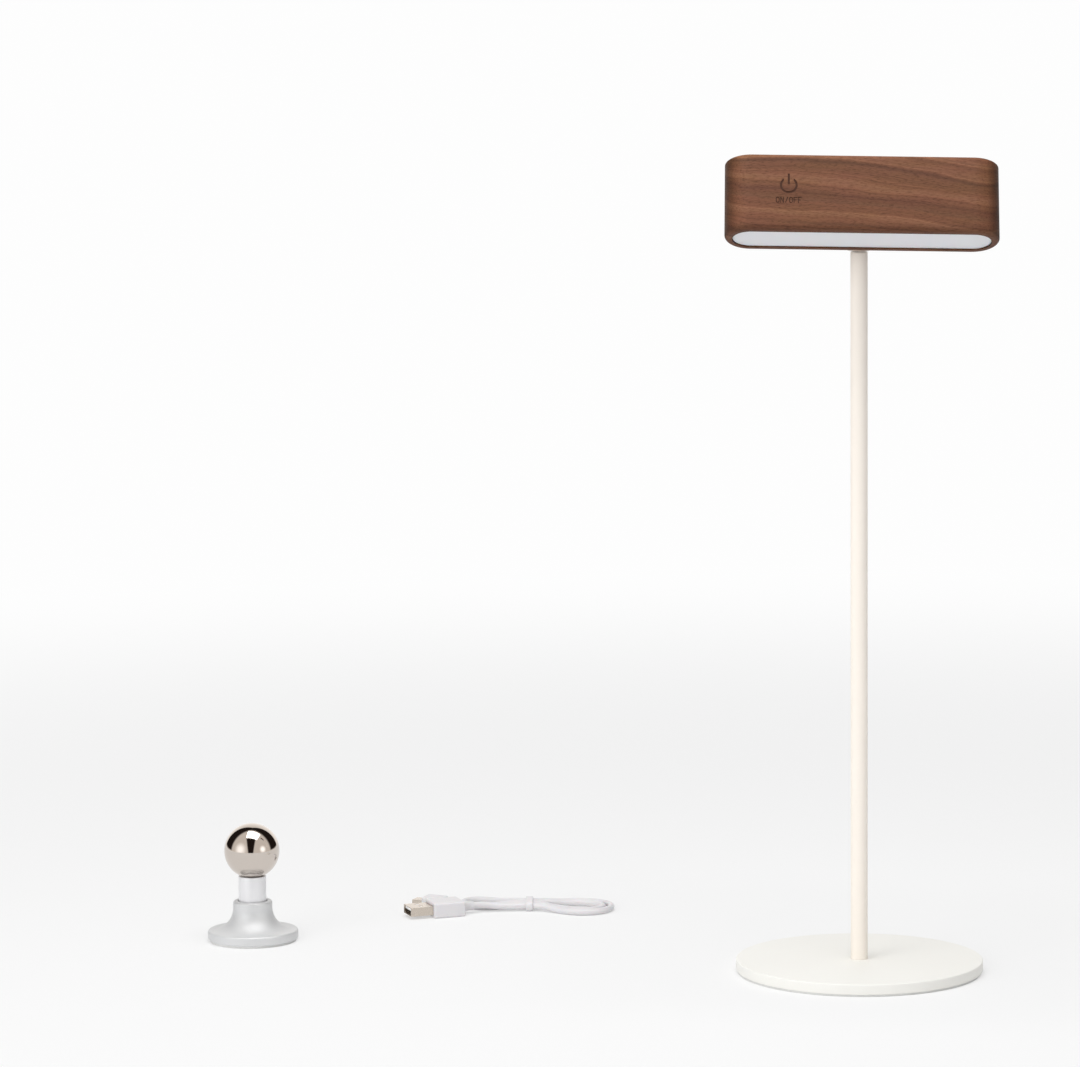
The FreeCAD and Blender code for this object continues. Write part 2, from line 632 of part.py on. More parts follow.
control_slab = box("control_slab", "dim.control_length", "dim.control_thickness", "dim.control_height",
                   (sign_x, (control_front + control_back) / 2, n.board_level))
control_holes = [cylinder(f"control_hole_{i}", "dim.board_screw_diameter + 2 * dim.screw_allowance",
                          "dim.control_thickness + 2 * dim.overcut", (x, control_front - n.overcut, z), BACK)
                 for i, (x, z) in enumerate(board_corners())]
node("control_board", cut("control_board", control_slab, *control_holes), HEAD)
standoffs = []
control_screws = []
for i, (x, z) in enumerate(board_corners()):
    post = cylinder(f"standoff_post_{i}", "dim.standoff_diameter", "dim.control_lift", (x, inner_front, z), BACK)
    bore = cylinder(f"standoff_bore_{i}", "dim.board_screw_diameter + 2 * dim.slip_fit",
                    "dim.board_screw_reach + dim.embed + dim.overcut",
                    (x, control_front - n.board_screw_reach - n.embed, z), BACK)
    standoffs.append(cut(f"standoff_{i}", post, bore))
    shank = cylinder(f"control_shank_{i}", "dim.board_screw_diameter",
                     "dim.control_thickness + dim.board_screw_reach", (x, control_back, z), FRONT)
    head = cylinder(f"control_head_{i}", "dim.board_screw_head", "dim.board_screw_head_height",
                    (x, control_back, z), BACK)
    control_screws.append(fuse(f"control_screw_{i}", shank, head))
node("board_standoffs", group("board_standoffs", *standoffs), HEAD)
node("board_screws", group("board_screws", *control_screws), HEAD)

# Battery cell and tape
battery_left = sign_x + n.control_length / 2 + n.battery_gap
battery_right = chamber_reach - n.battery_end_gap
battery_x = (battery_left + battery_right) / 2
battery_length = battery_right - battery_left
node("battery_tape", box("battery_tape", f"{battery_length} - 2 * dim.tape_end_inset", "dim.tape_thickness",
                         "dim.battery_height - 2 * dim.tape_side_inset",
                         (battery_x, inner_front + n.tape_thickness / 2, n.board_level)), HEAD)
battery_block = box("battery_block", f"{battery_length}", "dim.battery_thickness", "dim.battery_height",
                    (battery_x, inner_front + n.tape_thickness + n.battery_thickness / 2, n.board_level))
node("battery_cell", rounded("battery_cell", battery_block, n.battery_round,
                             lambda edge: abs(edge.tangentAt(edge.FirstParameter).x) > 0.99), HEAD)

# Charging socket, its board and screws, bezel and light pipe
port_board_y = inner_back - n.port_board_thickness / 2
port_slab = box("port_slab", "dim.port_board_length", "dim.port_board_thickness", "dim.port_board_height",
                (port_x, port_board_y, 0))
port_inner = inner_back - n.port_board_thickness
port_holes = []
port_screws = []
for i, z in enumerate(port_screw_levels):
    port_holes.append(cylinder(f"port_screw_hole_{i}", "dim.board_screw_diameter + 2 * dim.slip_fit",
                               "dim.port_board_thickness + 2 * dim.overcut",
                               (port_screw_x, inner_back + n.overcut, z), FRONT))
    head = cylinder(f"port_screw_head_{i}", "dim.port_screw_head", "dim.port_screw_head_height",
                    (port_screw_x, port_inner, z), FRONT)
    shank = cylinder(f"port_screw_shank_{i}", "dim.board_screw_diameter",
                     "dim.port_board_thickness + dim.port_screw_reach", (port_screw_x, port_inner, z), BACK)
    port_screws.append(fuse(f"port_screw_{i}", head, shank))
node("port_board", cut("port_board", port_slab, *port_holes), HEAD)
node("port_screws", group("port_screws", *port_screws), HEAD)
bezel_sleeve = port_slot("bezel_sleeve", port_sleeve[0], port_sleeve[1], "dim.head_wall", half_depth)
bezel_flange = port_slot("bezel_plate", "dim.bezel_width", "dim.bezel_height", "dim.bezel_flange", half_depth)
bezel_mouth = port_slot("bezel_mouth", "dim.port_width", "dim.port_height", "dim.head_wall + 2 * dim.overcut",
                        half_depth + n.overcut)
node("port_bezel", cut("port_bezel", fuse("bezel_solid", bezel_sleeve, bezel_flange), bezel_mouth), HEAD)
socket_width = "dim.port_width - 4 * dim.slip_fit"
socket_height = "dim.port_height - 4 * dim.slip_fit"
socket_outer = port_slot("socket_outer", socket_width, socket_height, "dim.socket_length",
                         inner_back + n.socket_length)
socket_room = port_slot("socket_room", f"{socket_width} - 2 * dim.socket_wall",
                        f"{socket_height} - 2 * dim.socket_wall", "dim.socket_length",
                        inner_back + n.socket_length + n.socket_back)
tongue_length = n.socket_length - n.socket_tongue_recess
socket_tongue = box("socket_tongue", "dim.socket_tongue_width", f"{tongue_length}",
                    "dim.socket_tongue_thickness", (port_x, inner_back + tongue_length / 2, 0))
node("charge_socket", fuse("charge_socket", cut("socket_shell", socket_outer, socket_room), socket_tongue), HEAD)
node("charge_light", cylinder("charge_light", "dim.pipe_diameter", "dim.head_wall", (pipe_x, half_depth, 0),
                              FRONT), HEAD)


# Bent tubes: straight runs joined by tangent arcs

def bent_path(points, share=0.45):
    """A wire through the points, whose arcs take the given share of the shorter run beside each point.
    Gives the wire, its arc radii and its length."""
    edges = []
    radii = []
    start = points[0]
    for before, corner, after in zip(points, points[1:], points[2:]):
        into = corner - before
        out = after - corner
        turn = into.getAngle(out)
        reach = share * min(into.Length, out.Length)
        radii.append(reach / math.tan(turn / 2))
        arc_start = corner - V(into).normalize() * reach
        arc_end = corner + V(out).normalize() * reach
        inward = (V(out).normalize() - V(into).normalize()).normalize()
        middle = corner + inward * (radii[-1] / math.cos(turn / 2) - radii[-1])
        edges.append(Part.LineSegment(start, arc_start).toShape())
        edges.append(Part.Arc(arc_start, middle, arc_end).toShape())
        start = arc_end
    edges.append(Part.LineSegment(start, points[-1]).toShape())
    return Part.Wire(edges), radii


def tube(name, points, diameter, share=0.45):
    """A round cord along the points; its volume is compared with its section times its length."""
    wire, radii = bent_path(points, share)
    direction = points[1] - points[0]
    ring = Part.Wire(Part.Circle(points[0], direction, diameter / 2).toShape())
    shape = wire.makePipeShell([ring], True, False)
    expected = math.pi * diameter ** 2 / 4 * wire.Length
    print(f"{name}: length {wire.Length:.1f}, volume ratio {shape.Volume / expected:.4f}, "
          f"least radius {min(radii):.1f}" if radii else f"{name}: straight")
    piece = doc.addObject("Part::Feature", name)
    piece.Shape = shape
    return piece, wire


# Inner leads of the light board, the battery and the socket
board_lead_top = n.board_level - n.control_height / 2 + n.lead_overlap
led_leads = [cylinder(f"led_lead_{side}", "dim.lead_diameter", f"{board_lead_top - floor_low}",
                      (lead_x + offset, lead_y, floor_low), UP)
             for side, offset in (("left", -n.lead_spacing / 2), ("right", n.lead_spacing / 2))]
node("led_leads", group("led_leads", *led_leads), HEAD)
battery_leads = [cylinder(f"battery_lead_{side}", "dim.lead_diameter", f"{battery_left - lead_x} + dim.lead_overlap",
                          (battery_left, lead_y, n.battery_lead_level + offset), V(-1, 0, 0))
                 for side, offset in (("low", -n.battery_lead_spacing / 2), ("high", n.battery_lead_spacing / 2))]
node("battery_leads", group("battery_leads", *battery_leads), HEAD)
over_cup = inner_top - n.lead_diameter
port_side = port_x - n.port_board_length / 2 + n.port_lead_inset
lead_back = port_inner - n.lead_diameter / 2 - n.slip_fit
port_leads = []
for i in range(2):
    aside = i * 2 * n.lead_diameter
    level = over_cup - i * n.lead_diameter
    depth = lead_back - aside
    route = [V(port_side + aside, lead_back, 0), V(port_side + aside, lead_back, level),
             V(port_side + aside, depth, level), V(lead_x - aside, depth, level)]
    if i == 0:
        route.pop(2)
    route += [V(lead_x - aside, lead_y, level), V(lead_x - aside, lead_y, n.board_level + n.port_lead_end)]
    port_leads.append(tube(f"port_lead_{i}", route, n.lead_diameter, 0.4)[0])
node("port_leads", group("port_leads", *port_leads), HEAD)

# Spare ball mount: pad, flared base, post, ball and screw
MOUNT = Placement(V(n.mount_x, n.mount_y, 0), Rotation())
mount_top = n.mount_pad_thickness + n.mount_base_height
post_foot = mount_top - n.post_seat_depth
post_top = post_foot + n.post_length
spare_centre = post_top + math.sqrt(ball_radius ** 2 - (n.mount_ball_flat / 2) ** 2)
node("mount_pad", cylinder("mount_pad", "dim.mount_base_diameter - 2 * dim.mount_pad_inset",
                           "dim.mount_pad_thickness"), MOUNT)
mount_foot = cylinder("mount_foot", "dim.mount_base_diameter", "dim.mount_base_edge",
                      (0, 0, n.mount_pad_thickness))
mount_stem = cylinder("mount_stem", "dim.mount_neck_diameter", "dim.mount_base_height",
                      (0, 0, n.mount_pad_thickness))
mount_solid = fuse("mount_solid", mount_foot, mount_stem)
foot_top = n.mount_pad_thickness + n.mount_base_edge
# The flare is as large as the ring round the neck and the height below its rounded top allow
flare_width = (n.mount_base_diameter - n.mount_neck_diameter) / 2
flare_height = n.mount_base_height - n.mount_base_edge - n.mount_neck_round
mount_flare = min(flare_width, flare_height) - n.mount_shelf
mount_flared = rounded("mount_flared", mount_solid, mount_flare,
                       lambda edge: abs(edge.CenterOfMass.z - foot_top) < 0.01
                       and edge.Length < math.pi * n.mount_neck_diameter + 1)
mount_edged = rounded("mount_edged", mount_flared, n.mount_edge_round,
                      lambda edge: edge.Length > math.pi * n.mount_base_diameter - 1)
mount_edged = rounded("mount_neck_rounded", mount_edged, n.mount_neck_round,
                      lambda edge: abs(edge.CenterOfMass.z - mount_top) < 0.01)
mount_hole = cylinder("mount_hole", "dim.mount_screw_diameter + 2 * dim.screw_allowance",
                      "dim.mount_base_height + 2 * dim.overcut", (0, 0, n.mount_pad_thickness - n.overcut))
mount_counterbore = cylinder("mount_counterbore", "dim.mount_screw_head + 2 * dim.screw_allowance",
                             "dim.mount_screw_head_height + dim.mount_screw_recess + dim.overcut",
                             (0, 0, n.mount_pad_thickness - n.overcut))
post_seat = cylinder("post_seat", "dim.post_diameter + 2 * dim.post_seat_gap", "dim.post_seat_depth + dim.overcut",
                     (0, 0, post_foot))
node("mount_base", cut("mount_base", mount_edged, mount_hole, mount_counterbore, post_seat), MOUNT)
post = cylinder("mount_post_bar", "dim.post_diameter", "dim.post_length", (0, 0, post_foot))
post_hole = cylinder("mount_post_hole", "dim.mount_screw_diameter + 2 * dim.screw_allowance",
                     "dim.post_length + 2 * dim.overcut", (0, 0, post_foot - n.overcut))
node("mount_post", cut("mount_post", post, post_hole), MOUNT)
spare_round = sphere("spare_round", "dim.ball_diameter", (0, 0, spare_centre))
spare_flat = cylinder("spare_flat", "dim.ball_diameter", "dim.ball_diameter", (0, 0, post_top), DOWN)
spare_thread = cylinder("spare_thread", "dim.mount_screw_diameter + 2 * dim.slip_fit",
                        "dim.mount_screw_in_ball + dim.overcut", (0, 0, post_top - n.overcut))
node("mount_ball", cut("mount_ball", spare_round, spare_flat, spare_thread), MOUNT)
mount_screw_low = n.mount_pad_thickness + n.mount_screw_recess
mount_shank = cylinder("mount_screw_shank", "dim.mount_screw_diameter",
                       f"{post_top - mount_screw_low} + dim.mount_screw_in_ball", (0, 0, mount_screw_low))
mount_head = cylinder("mount_screw_head", "dim.mount_screw_head", "dim.mount_screw_head_height",
                      (0, 0, mount_screw_low))
mount_drive = cylinder("mount_screw_socket", "dim.mount_screw_drive", "dim.mount_screw_drive_depth + dim.overcut",
                       (0, 0, mount_screw_low - n.overcut))
node("mount_screw", cut("mount_screw", fuse("mount_screw_solid", mount_shank, mount_head), mount_drive), MOUNT)

# Charging cable: one cord in a tied hank, planar, with its plug ends side by side
cord_radius = n.cord_diameter / 2
tie_lift = cord_radius + n.tie_thickness + n.tie_gap
usb_z = n.usb_a_body_height / 2
micro_z = n.micro_body_height / 2
CABLE = Placement(V(n.cable_x, n.cable_y, 0), Rotation())
usb_end = V(-31.9, -7.1, usb_z)
micro_end = V(-42.6, 5.0, micro_z)
usb_heading = 20
usb_straight = 6.4
micro_heading = -20
micro_straight = 5.0
tie_x = -3.2


def ahead(end, heading, distance):
    """The point at a distance from a plug's cord end, straight along its heading in degrees."""
    return end + V(math.cos(math.radians(heading)), math.sin(math.radians(heading)), 0) * distance


usb_lead = [(-18.8, -4.0, tie_lift), (-11.5, -3.3, tie_lift)]
first_turn = [(-3.2, -3.0, tie_lift), (5.2, -5.0, tie_lift), (10.6, -9.0, cord_radius),
              (17.0, -13.8, cord_radius), (24.5, -16.2, cord_radius), (32.4, -14.4, cord_radius),
              (37.9, -8.2, cord_radius), (39.4, -0.2, cord_radius), (36.8, 7.2, cord_radius),
              (30.4, 11.9, cord_radius), (21.5, 13.4, cord_radius), (12.0, 11.6, cord_radius),
              (4.6, 9.4, tie_lift)]
left_turn = [(-3.2, 8.8, tie_lift), (-10.8, 10.4, tie_lift), (-18.4, 14.1, cord_radius),
             (-26.3, 16.6, cord_radius), (-33.0, 15.2, cord_radius), (-36.2, 10.2, cord_radius),
             (-34.0, 5.2, cord_radius), (-27.9, 3.2, cord_radius), (-19.8, 3.9, cord_radius),
             (-11.6, 4.8, tie_lift)]
second_turn = [(-3.2, 4.9, tie_lift), (6.2, 5.6, tie_lift), (14.2, 8.0, cord_radius), (22.2, 9.1, cord_radius),
               (29.2, 7.5, cord_radius), (34.2, 2.9, cord_radius), (34.9, -4.0, cord_radius),
               (30.5, -9.7, cord_radius), (23.0, -11.0, cord_radius), (15.6, -7.4, cord_radius),
               (8.6, -2.3, cord_radius), (3.6, 0.4, tie_lift), (-3.2, 1.0, tie_lift)]
micro_lead = [(-11.9, 0.8, tie_lift), (-20.0, -0.3, cord_radius), (-27.6, -1.0, cord_radius),
              (-33.7, 0.3, 2.2)]


def vectors(points):
    """The route's points as vectors."""
    return [V(*point) for point in points]


loops = vectors(first_turn + left_turn + second_turn)
usb_run = [usb_end, ahead(usb_end, usb_heading, usb_straight)] + vectors(usb_lead)
micro_run = vectors(micro_lead) + [ahead(micro_end, micro_heading, micro_straight), micro_end]
usb_joint = (usb_run[-1] + loops[0]) * 0.5
micro_joint = (loops[-1] + micro_run[0]) * 0.5
lead_usb, usb_wire = tube("lead_usb", usb_run + [usb_joint], n.cord_diameter)
cable_hank, hank_wire = tube("cable_hank", [usb_joint] + loops + [micro_joint], n.cord_diameter)
lead_micro, micro_wire = tube("lead_micro", [micro_joint] + micro_run, n.cord_diameter)
node("lead_usb", lead_usb, CABLE)
node("cable_hank", cable_hank, CABLE)
node("lead_micro", lead_micro, CABLE)


def least_gap(wires, diameter, step=1.5):
    """The least gap between stretches of the cord that are over four diameters apart along it."""
    points = []
    for wire in wires:
        points += wire.discretize(Number=int(wire.Length / step))
    apart = int(4 * diameter / step)
    return min(points[i].distanceToPoint(points[k]) for i in range(len(points))
               for k in range(i + apart, len(points))) - diameter


cord_length = usb_wire.Length + hank_wire.Length + micro_wire.Length
print(f"cable length {cord_length:.1f}, least gap to itself "
      f"{least_gap([usb_wire, hank_wire, micro_wire], n.cord_diameter):.2f}")

# Tie, a flat band round the four strands
strand_low = -3.4
strand_high = 9.3
tie_room = f"{strand_high - strand_low} + dim.cord_diameter + 2 * dim.tie_gap"
tie_outer = prism("tie_outer", f"{tie_room} + 2 * dim.tie_thickness",
                  "dim.cord_diameter + 2 * dim.tie_gap + 2 * dim.tie_thickness", "dim.tie_width")
tie_inner = prism("tie_inner", tie_room, "dim.cord_diameter + 2 * dim.tie_gap",
                  "dim.tie_width + 2 * dim.overcut", -n.overcut)
tie_place = Placement(V(tie_x - n.tie_width / 2, (strand_low + strand_high) / 2, tie_lift),
                      Rotation(BACK, V(0, 0, 1), RIGHT, "XZY"))
node("cable_tie", cut("cable_tie", tie_outer, tie_inner), CABLE.multiply(tie_place))


# Plugs, each modelled along X with its cord end at the origin and its tip to -X

def plug_place(end, heading, height):
    """The plug's place: its cord end at the lead's end, the cord leaving along the heading in degrees."""
    return CABLE.multiply(Placement(V(end.x, end.y, height), Rotation(UP, heading)))


USB_A = plug_place(usb_end, usb_heading, usb_z)
usb_body_end = -n.usb_a_relief_length
usb_tip = usb_body_end - n.usb_a_body_length
usb_block = box("usb_block", "dim.usb_a_body_length", "dim.usb_a_body_width", "dim.usb_a_body_height",
                ((usb_body_end + usb_tip) / 2, 0, 0))
usb_block = rounded("usb_block_round", usb_block, n.plug_round, lambda edge: True)
usb_relief = cone("usb_relief_cone", "dim.usb_a_relief_diameter", "dim.usb_a_relief_end",
                  "dim.usb_a_relief_length + dim.embed", (usb_body_end - n.embed, 0, 0), RIGHT)
usb_step = cylinder("usb_relief_step", "dim.usb_a_step_diameter", "dim.usb_a_step_length + dim.embed",
                    (usb_body_end - n.embed, 0, 0), RIGHT)
usb_mouth = box("usb_mouth", "2 * dim.usb_a_seat_depth", "dim.usb_a_shell_width + 2 * dim.slip_fit",
                "dim.usb_a_shell_height + 2 * dim.slip_fit", (usb_tip, 0, 0))
node("usb_a_body", cut("usb_a_body", fuse("usb_solid", usb_block, usb_relief, usb_step), usb_mouth), USB_A)
usb_shell_end = usb_tip - n.usb_a_shell_length
usb_shell_middle = (usb_shell_end + usb_tip + n.usb_a_seat_depth) / 2
usb_shell_outer = box("usb_shell_outer", "dim.usb_a_shell_length + dim.usb_a_seat_depth", "dim.usb_a_shell_width",
                      "dim.usb_a_shell_height", (usb_shell_middle, 0, 0))
usb_shell_room = box("usb_shell_room", "dim.usb_a_shell_length + dim.usb_a_seat_depth + 2 * dim.overcut",
                     "dim.usb_a_shell_width - 2 * dim.usb_a_shell_wall",
                     "dim.usb_a_shell_height - 2 * dim.usb_a_shell_wall", (usb_shell_middle, 0, 0))
usb_windows = [box(f"usb_window_{i}", "dim.usb_a_window", "dim.usb_a_window",
                   "dim.usb_a_shell_height + 2 * dim.overcut",
                   ((usb_tip + usb_shell_end) / 2, side * n.usb_a_window_spacing / 2, 0))
               for i, side in enumerate((-1, 1))]
node("usb_a_shell", cut("usb_a_shell", usb_shell_outer, usb_shell_room, *usb_windows), USB_A)
tongue_top = n.usb_a_shell_height / 2 - n.usb_a_shell_wall
tongue_tip = usb_shell_end + n.usb_a_tongue_recess
tongue_root = usb_tip + n.usb_a_seat_depth - 2 * n.slip_fit
node("usb_a_tongue", box("usb_a_tongue", f"{tongue_root - tongue_tip}",
                         "dim.usb_a_shell_width - 2 * dim.usb_a_shell_wall - 2 * dim.slip_fit",
                         "dim.usb_a_tongue_height",
                         ((tongue_root + tongue_tip) / 2, 0, tongue_top - n.usb_a_tongue_height / 2)), USB_A)

MICRO = plug_place(micro_end, micro_heading, micro_z)
micro_body_end = -n.micro_relief_length
micro_tip = micro_body_end - n.micro_body_length
micro_wedge = doc.addObject("Part::Wedge", "micro_wedge")
micro_wedge.setExpression("Xmin", "-dim.micro_body_width / 2")
micro_wedge.setExpression("Xmax", "dim.micro_body_width / 2")
micro_wedge.setExpression("X2min", "-dim.micro_body_tail_width / 2")
micro_wedge.setExpression("X2max", "dim.micro_body_tail_width / 2")
micro_wedge.setExpression("Zmin", "-dim.micro_body_height / 2")
micro_wedge.setExpression("Zmax", "dim.micro_body_height / 2")
micro_wedge.setExpression("Z2min", "-dim.micro_body_height / 2")
micro_wedge.setExpression("Z2max", "dim.micro_body_height / 2")
micro_wedge.setExpression("Ymin", "0")
micro_wedge.setExpression("Ymax", "dim.micro_body_length")
micro_wedge.Placement = Placement(V(micro_tip, 0, 0), Rotation(UP, -90))
micro_block = rounded("micro_block_round", micro_wedge, n.plug_round, lambda edge: True)
micro_relief = cone("micro_relief_cone", "dim.micro_relief_diameter", "dim.micro_relief_end",
                    "dim.micro_relief_length + dim.embed", (micro_body_end - n.embed, 0, 0), RIGHT)
micro_mouth = box("micro_mouth", "2 * dim.micro_seat_depth", "dim.micro_shell_width + 2 * dim.slip_fit",
                  "dim.micro_shell_height + 2 * dim.slip_fit", (micro_tip, 0, 0))
node("micro_usb_body", cut("micro_usb_body", fuse("micro_solid", micro_block, micro_relief), micro_mouth), MICRO)
micro_shell_tip = micro_tip - n.micro_shell_length
micro_shell_root = micro_tip + n.micro_seat_depth
micro_shell_outer = box("micro_shell_outer", "dim.micro_shell_length + dim.micro_seat_depth",
                        "dim.micro_shell_width", "dim.micro_shell_height",
                        ((micro_shell_tip + micro_shell_root) / 2, 0, 0))
micro_room_end = micro_shell_root - n.micro_shell_back
micro_room_tip = micro_shell_tip - n.overcut
micro_shell_room = box("micro_shell_room", f"{micro_room_end - micro_room_tip}",
                       "dim.micro_shell_width - 2 * dim.micro_shell_wall",
                       "dim.micro_shell_height - 2 * dim.micro_shell_wall",
                       ((micro_room_end + micro_room_tip) / 2, 0, 0))
micro_tongue_tip = micro_shell_tip + n.micro_tongue_recess
micro_tongue_root = micro_room_end + n.embed
micro_tongue = box("micro_tongue", f"{micro_tongue_root - micro_tongue_tip}", "dim.micro_tongue_width",
                   "dim.micro_tongue_height", ((micro_tongue_root + micro_tongue_tip) / 2, 0, 0))
node("micro_usb_shell", fuse("micro_usb_shell", cut("micro_shell", micro_shell_outer, micro_shell_room),
                             micro_tongue), MICRO)

# Check every object, then write one file for each sub-part
doc.recompute()
for item in doc.Objects:
    if "Invalid" in item.State or "Error" in item.State:
        raise RuntimeError(f"{item.Name} failed: {item.State}")
for label, piece in nodes.items():
    if piece.Shape.isNull() or not piece.Shape.isValid() or not piece.Shape.Solids:
        raise RuntimeError(f"{label} has no valid solid")

os.makedirs("parts", exist_ok=True)
for label, piece in nodes.items():
    piece.Shape.exportStep(f"parts/{label}.step")
    bounds = piece.Shape.BoundBox
    print(f"{label}: {len(piece.Shape.Solids)} solid(s), {piece.Shape.Volume:.0f} mm3, "
          f"z {bounds.ZMin:.1f} to {bounds.ZMax:.1f}")
print(f"{len(nodes)} nodes")
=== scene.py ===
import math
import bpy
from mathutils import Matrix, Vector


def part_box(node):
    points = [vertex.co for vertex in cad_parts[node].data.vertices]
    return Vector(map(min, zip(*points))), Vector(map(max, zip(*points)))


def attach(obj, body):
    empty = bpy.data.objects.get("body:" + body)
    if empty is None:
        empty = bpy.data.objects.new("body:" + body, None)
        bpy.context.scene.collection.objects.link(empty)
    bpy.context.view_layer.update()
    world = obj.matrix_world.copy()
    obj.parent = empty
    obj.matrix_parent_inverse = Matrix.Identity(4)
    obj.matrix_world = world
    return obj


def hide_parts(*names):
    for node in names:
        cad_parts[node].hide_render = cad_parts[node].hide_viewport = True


bl_info = {
    "name": "Magnetic Balance Lamp",
    "version": (1, 0, 0),
    "blender": (4, 5, 0),
    "location": "View3D > Sidebar > Lamp",
    "description": "Finishes and fine forms of a bar lamp on a magnetic ball, its spare mount and its cable",
    "category": "Object",
}

import bmesh
import bpy
import numpy as np
from bpy.props import FloatProperty, FloatVectorProperty, PointerProperty
from mathutils import Matrix, Vector

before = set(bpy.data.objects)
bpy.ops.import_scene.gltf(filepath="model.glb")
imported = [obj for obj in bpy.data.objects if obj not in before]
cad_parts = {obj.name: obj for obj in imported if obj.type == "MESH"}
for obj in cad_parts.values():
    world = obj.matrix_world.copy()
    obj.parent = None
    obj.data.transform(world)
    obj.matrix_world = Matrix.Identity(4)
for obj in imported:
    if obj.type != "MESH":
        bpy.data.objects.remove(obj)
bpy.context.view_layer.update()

MM = 0.001


def span(node, axis):
    """The size of a CAD node along one axis, in metres."""
    low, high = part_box(node)
    return high[axis] - low[axis]


def linear(code):
    """Turns an sRGB hex colour into linear red, green, blue and full alpha."""
    channel = np.array([int(code[i:i + 2], 16) for i in (1, 3, 5)]) / 255
    curve = np.where(channel <= 0.04045, channel / 12.92, ((channel + 0.055) / 1.055) ** 2.4)
    return (*curve.tolist(), 1.0)


def size(name, description, default):
    """A length that a user may change, in metres."""
    return FloatProperty(name=name, description=description, default=default, min=0.0, precision=5,
                         subtype="DISTANCE", unit="LENGTH")


def colour(name, description, code):
    """A finish's colour."""
    return FloatVectorProperty(name=name, description=description, default=linear(code), size=4, min=0.0,
                               max=1.0, subtype="COLOR")


class LampSizes(bpy.types.PropertyGroup):
    """Sizes of the lamp's own forms."""
    base_diameter: size("Base diameter", "Across the round base", span("base_plate", 0))
    base_round: size("Base edge round", "Radius of the base's upper and lower edge", 0.6 * MM)
    pole_diameter: size("Pole diameter", "Across the coated tube", span("pole_tube", 0))
    ball_diameter: size("Ball diameter", "Across the plated balls", span("steel_ball", 0))
    head_length: size("Head length", "Along the wooden bar", 127.5 * MM)
    head_depth: size("Head depth", "From the bar's front face to its back", 24.8 * MM)
    head_height: size("Head height", "From the bar's lower face to its upper face", 37.8 * MM)
    head_wall: size("Head wall", "Wood left round the light's opening", 3.6 * MM)
    cord_diameter: size("Cord diameter", "Across the charging cord's jacket", 3.4 * MM)


class LampFinish(bpy.types.PropertyGroup):
    """Colours of the lamp's finishes."""
    base_coat: colour("Base coat", "White powder coat of the base", "#F0EFEA")
    pole_coat: colour("Pole coat", "Cream powder coat of the pole", "#F9F1E7")
    walnut: colour("Walnut", "The wood's middle brown", "#724933")
    walnut_dark: colour("Walnut streak", "The wood's dark growth lines", "#603C2A")
    walnut_light: colour("Walnut light", "The wood's palest bands", "#7F553D")
    sign: colour("Burnt sign", "Walnut burnt by the engraver", "#472A1B")
    nickel: colour("Nickel", "Bright plate of the balls", "#CEC5BD")
    aluminium: colour("Aluminium", "Blasted and anodised foot of the spare mount", "#D8D9DA")
    cable: colour("Cable", "Jacket, plugs and tie of the charging cable", "#DBD9DB")
    diffuser: colour("Diffuser", "Frosted acrylic over the light", "#DADADE")


class StudioSettings(bpy.types.PropertyGroup):
    """Light and camera of the product picture."""
    key_power: FloatProperty(name="Key light", description="Power of the large soft box at the front left",
                             default=12.6, min=0.0, subtype="POWER", unit="POWER")
    fill_power: FloatProperty(name="Fill light", description="Power of the small soft box at the front right",
                              default=0.7, min=0.0, subtype="POWER", unit="POWER")
    top_power: FloatProperty(name="Top light", description="Power of the soft box over the lamp",
                             default=14.6, min=0.0, subtype="POWER", unit="POWER")
    room_light: FloatProperty(name="Room light", description="Strength of the even light from all sides",
                              default=0.49, min=0.0, max=2.0)
    focal_length: FloatProperty(name="Focal length", description="Camera lens on a 36 mm wide sensor",
                                default=141.15, min=10.0, subtype="DISTANCE_CAMERA")


def sizes():
    """The scene's sizes of the lamp's forms."""
    return bpy.context.scene.lamp_sizes


def finishes():
    """The scene's colours of the lamp's finishes."""
    return bpy.context.scene.lamp_finish


# Places: the ball's centre over the table, and the head's own frame with X along the bar and -Y its front

BALL_CENTRE = Vector((0, 0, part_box("steel_ball")[1].z - span("steel_ball", 0) / 2))
HEAD_TILT = math.radians(-26.3)
HEAD_TURN = math.radians(1.4)
BALL_REACH = 22.4 * MM
HEAD = (Matrix.Translation(BALL_CENTRE) @ Matrix.Rotation(HEAD_TILT, 4, "X")
        @ Matrix.Rotation(HEAD_TURN, 4, "Y") @ Matrix.Translation((0, -BALL_REACH, 0)))
MOUNT = Matrix.Translation((-297 * MM, 80 * MM, 0))
CABLE = Matrix.Translation((-157 * MM, 152 * MM, 0))


# Meshes

def grid_faces(rows, columns, wrap_rows=False, wrap_columns=False):
    """Quads between neighbouring points of a grid of rows and columns, wrapped round where it closes."""
    row = np.arange(rows if wrap_rows else rows - 1)[:, None]
    column = np.arange(columns if wrap_columns else columns - 1)[None, :]
    below = (row + 1) % rows
    right = (column + 1) % columns
    corners = (row * columns + column, row * columns + right,
               below * columns + right, below * columns + column)
    return np.stack(corners, axis=-1).reshape(-1, 4)


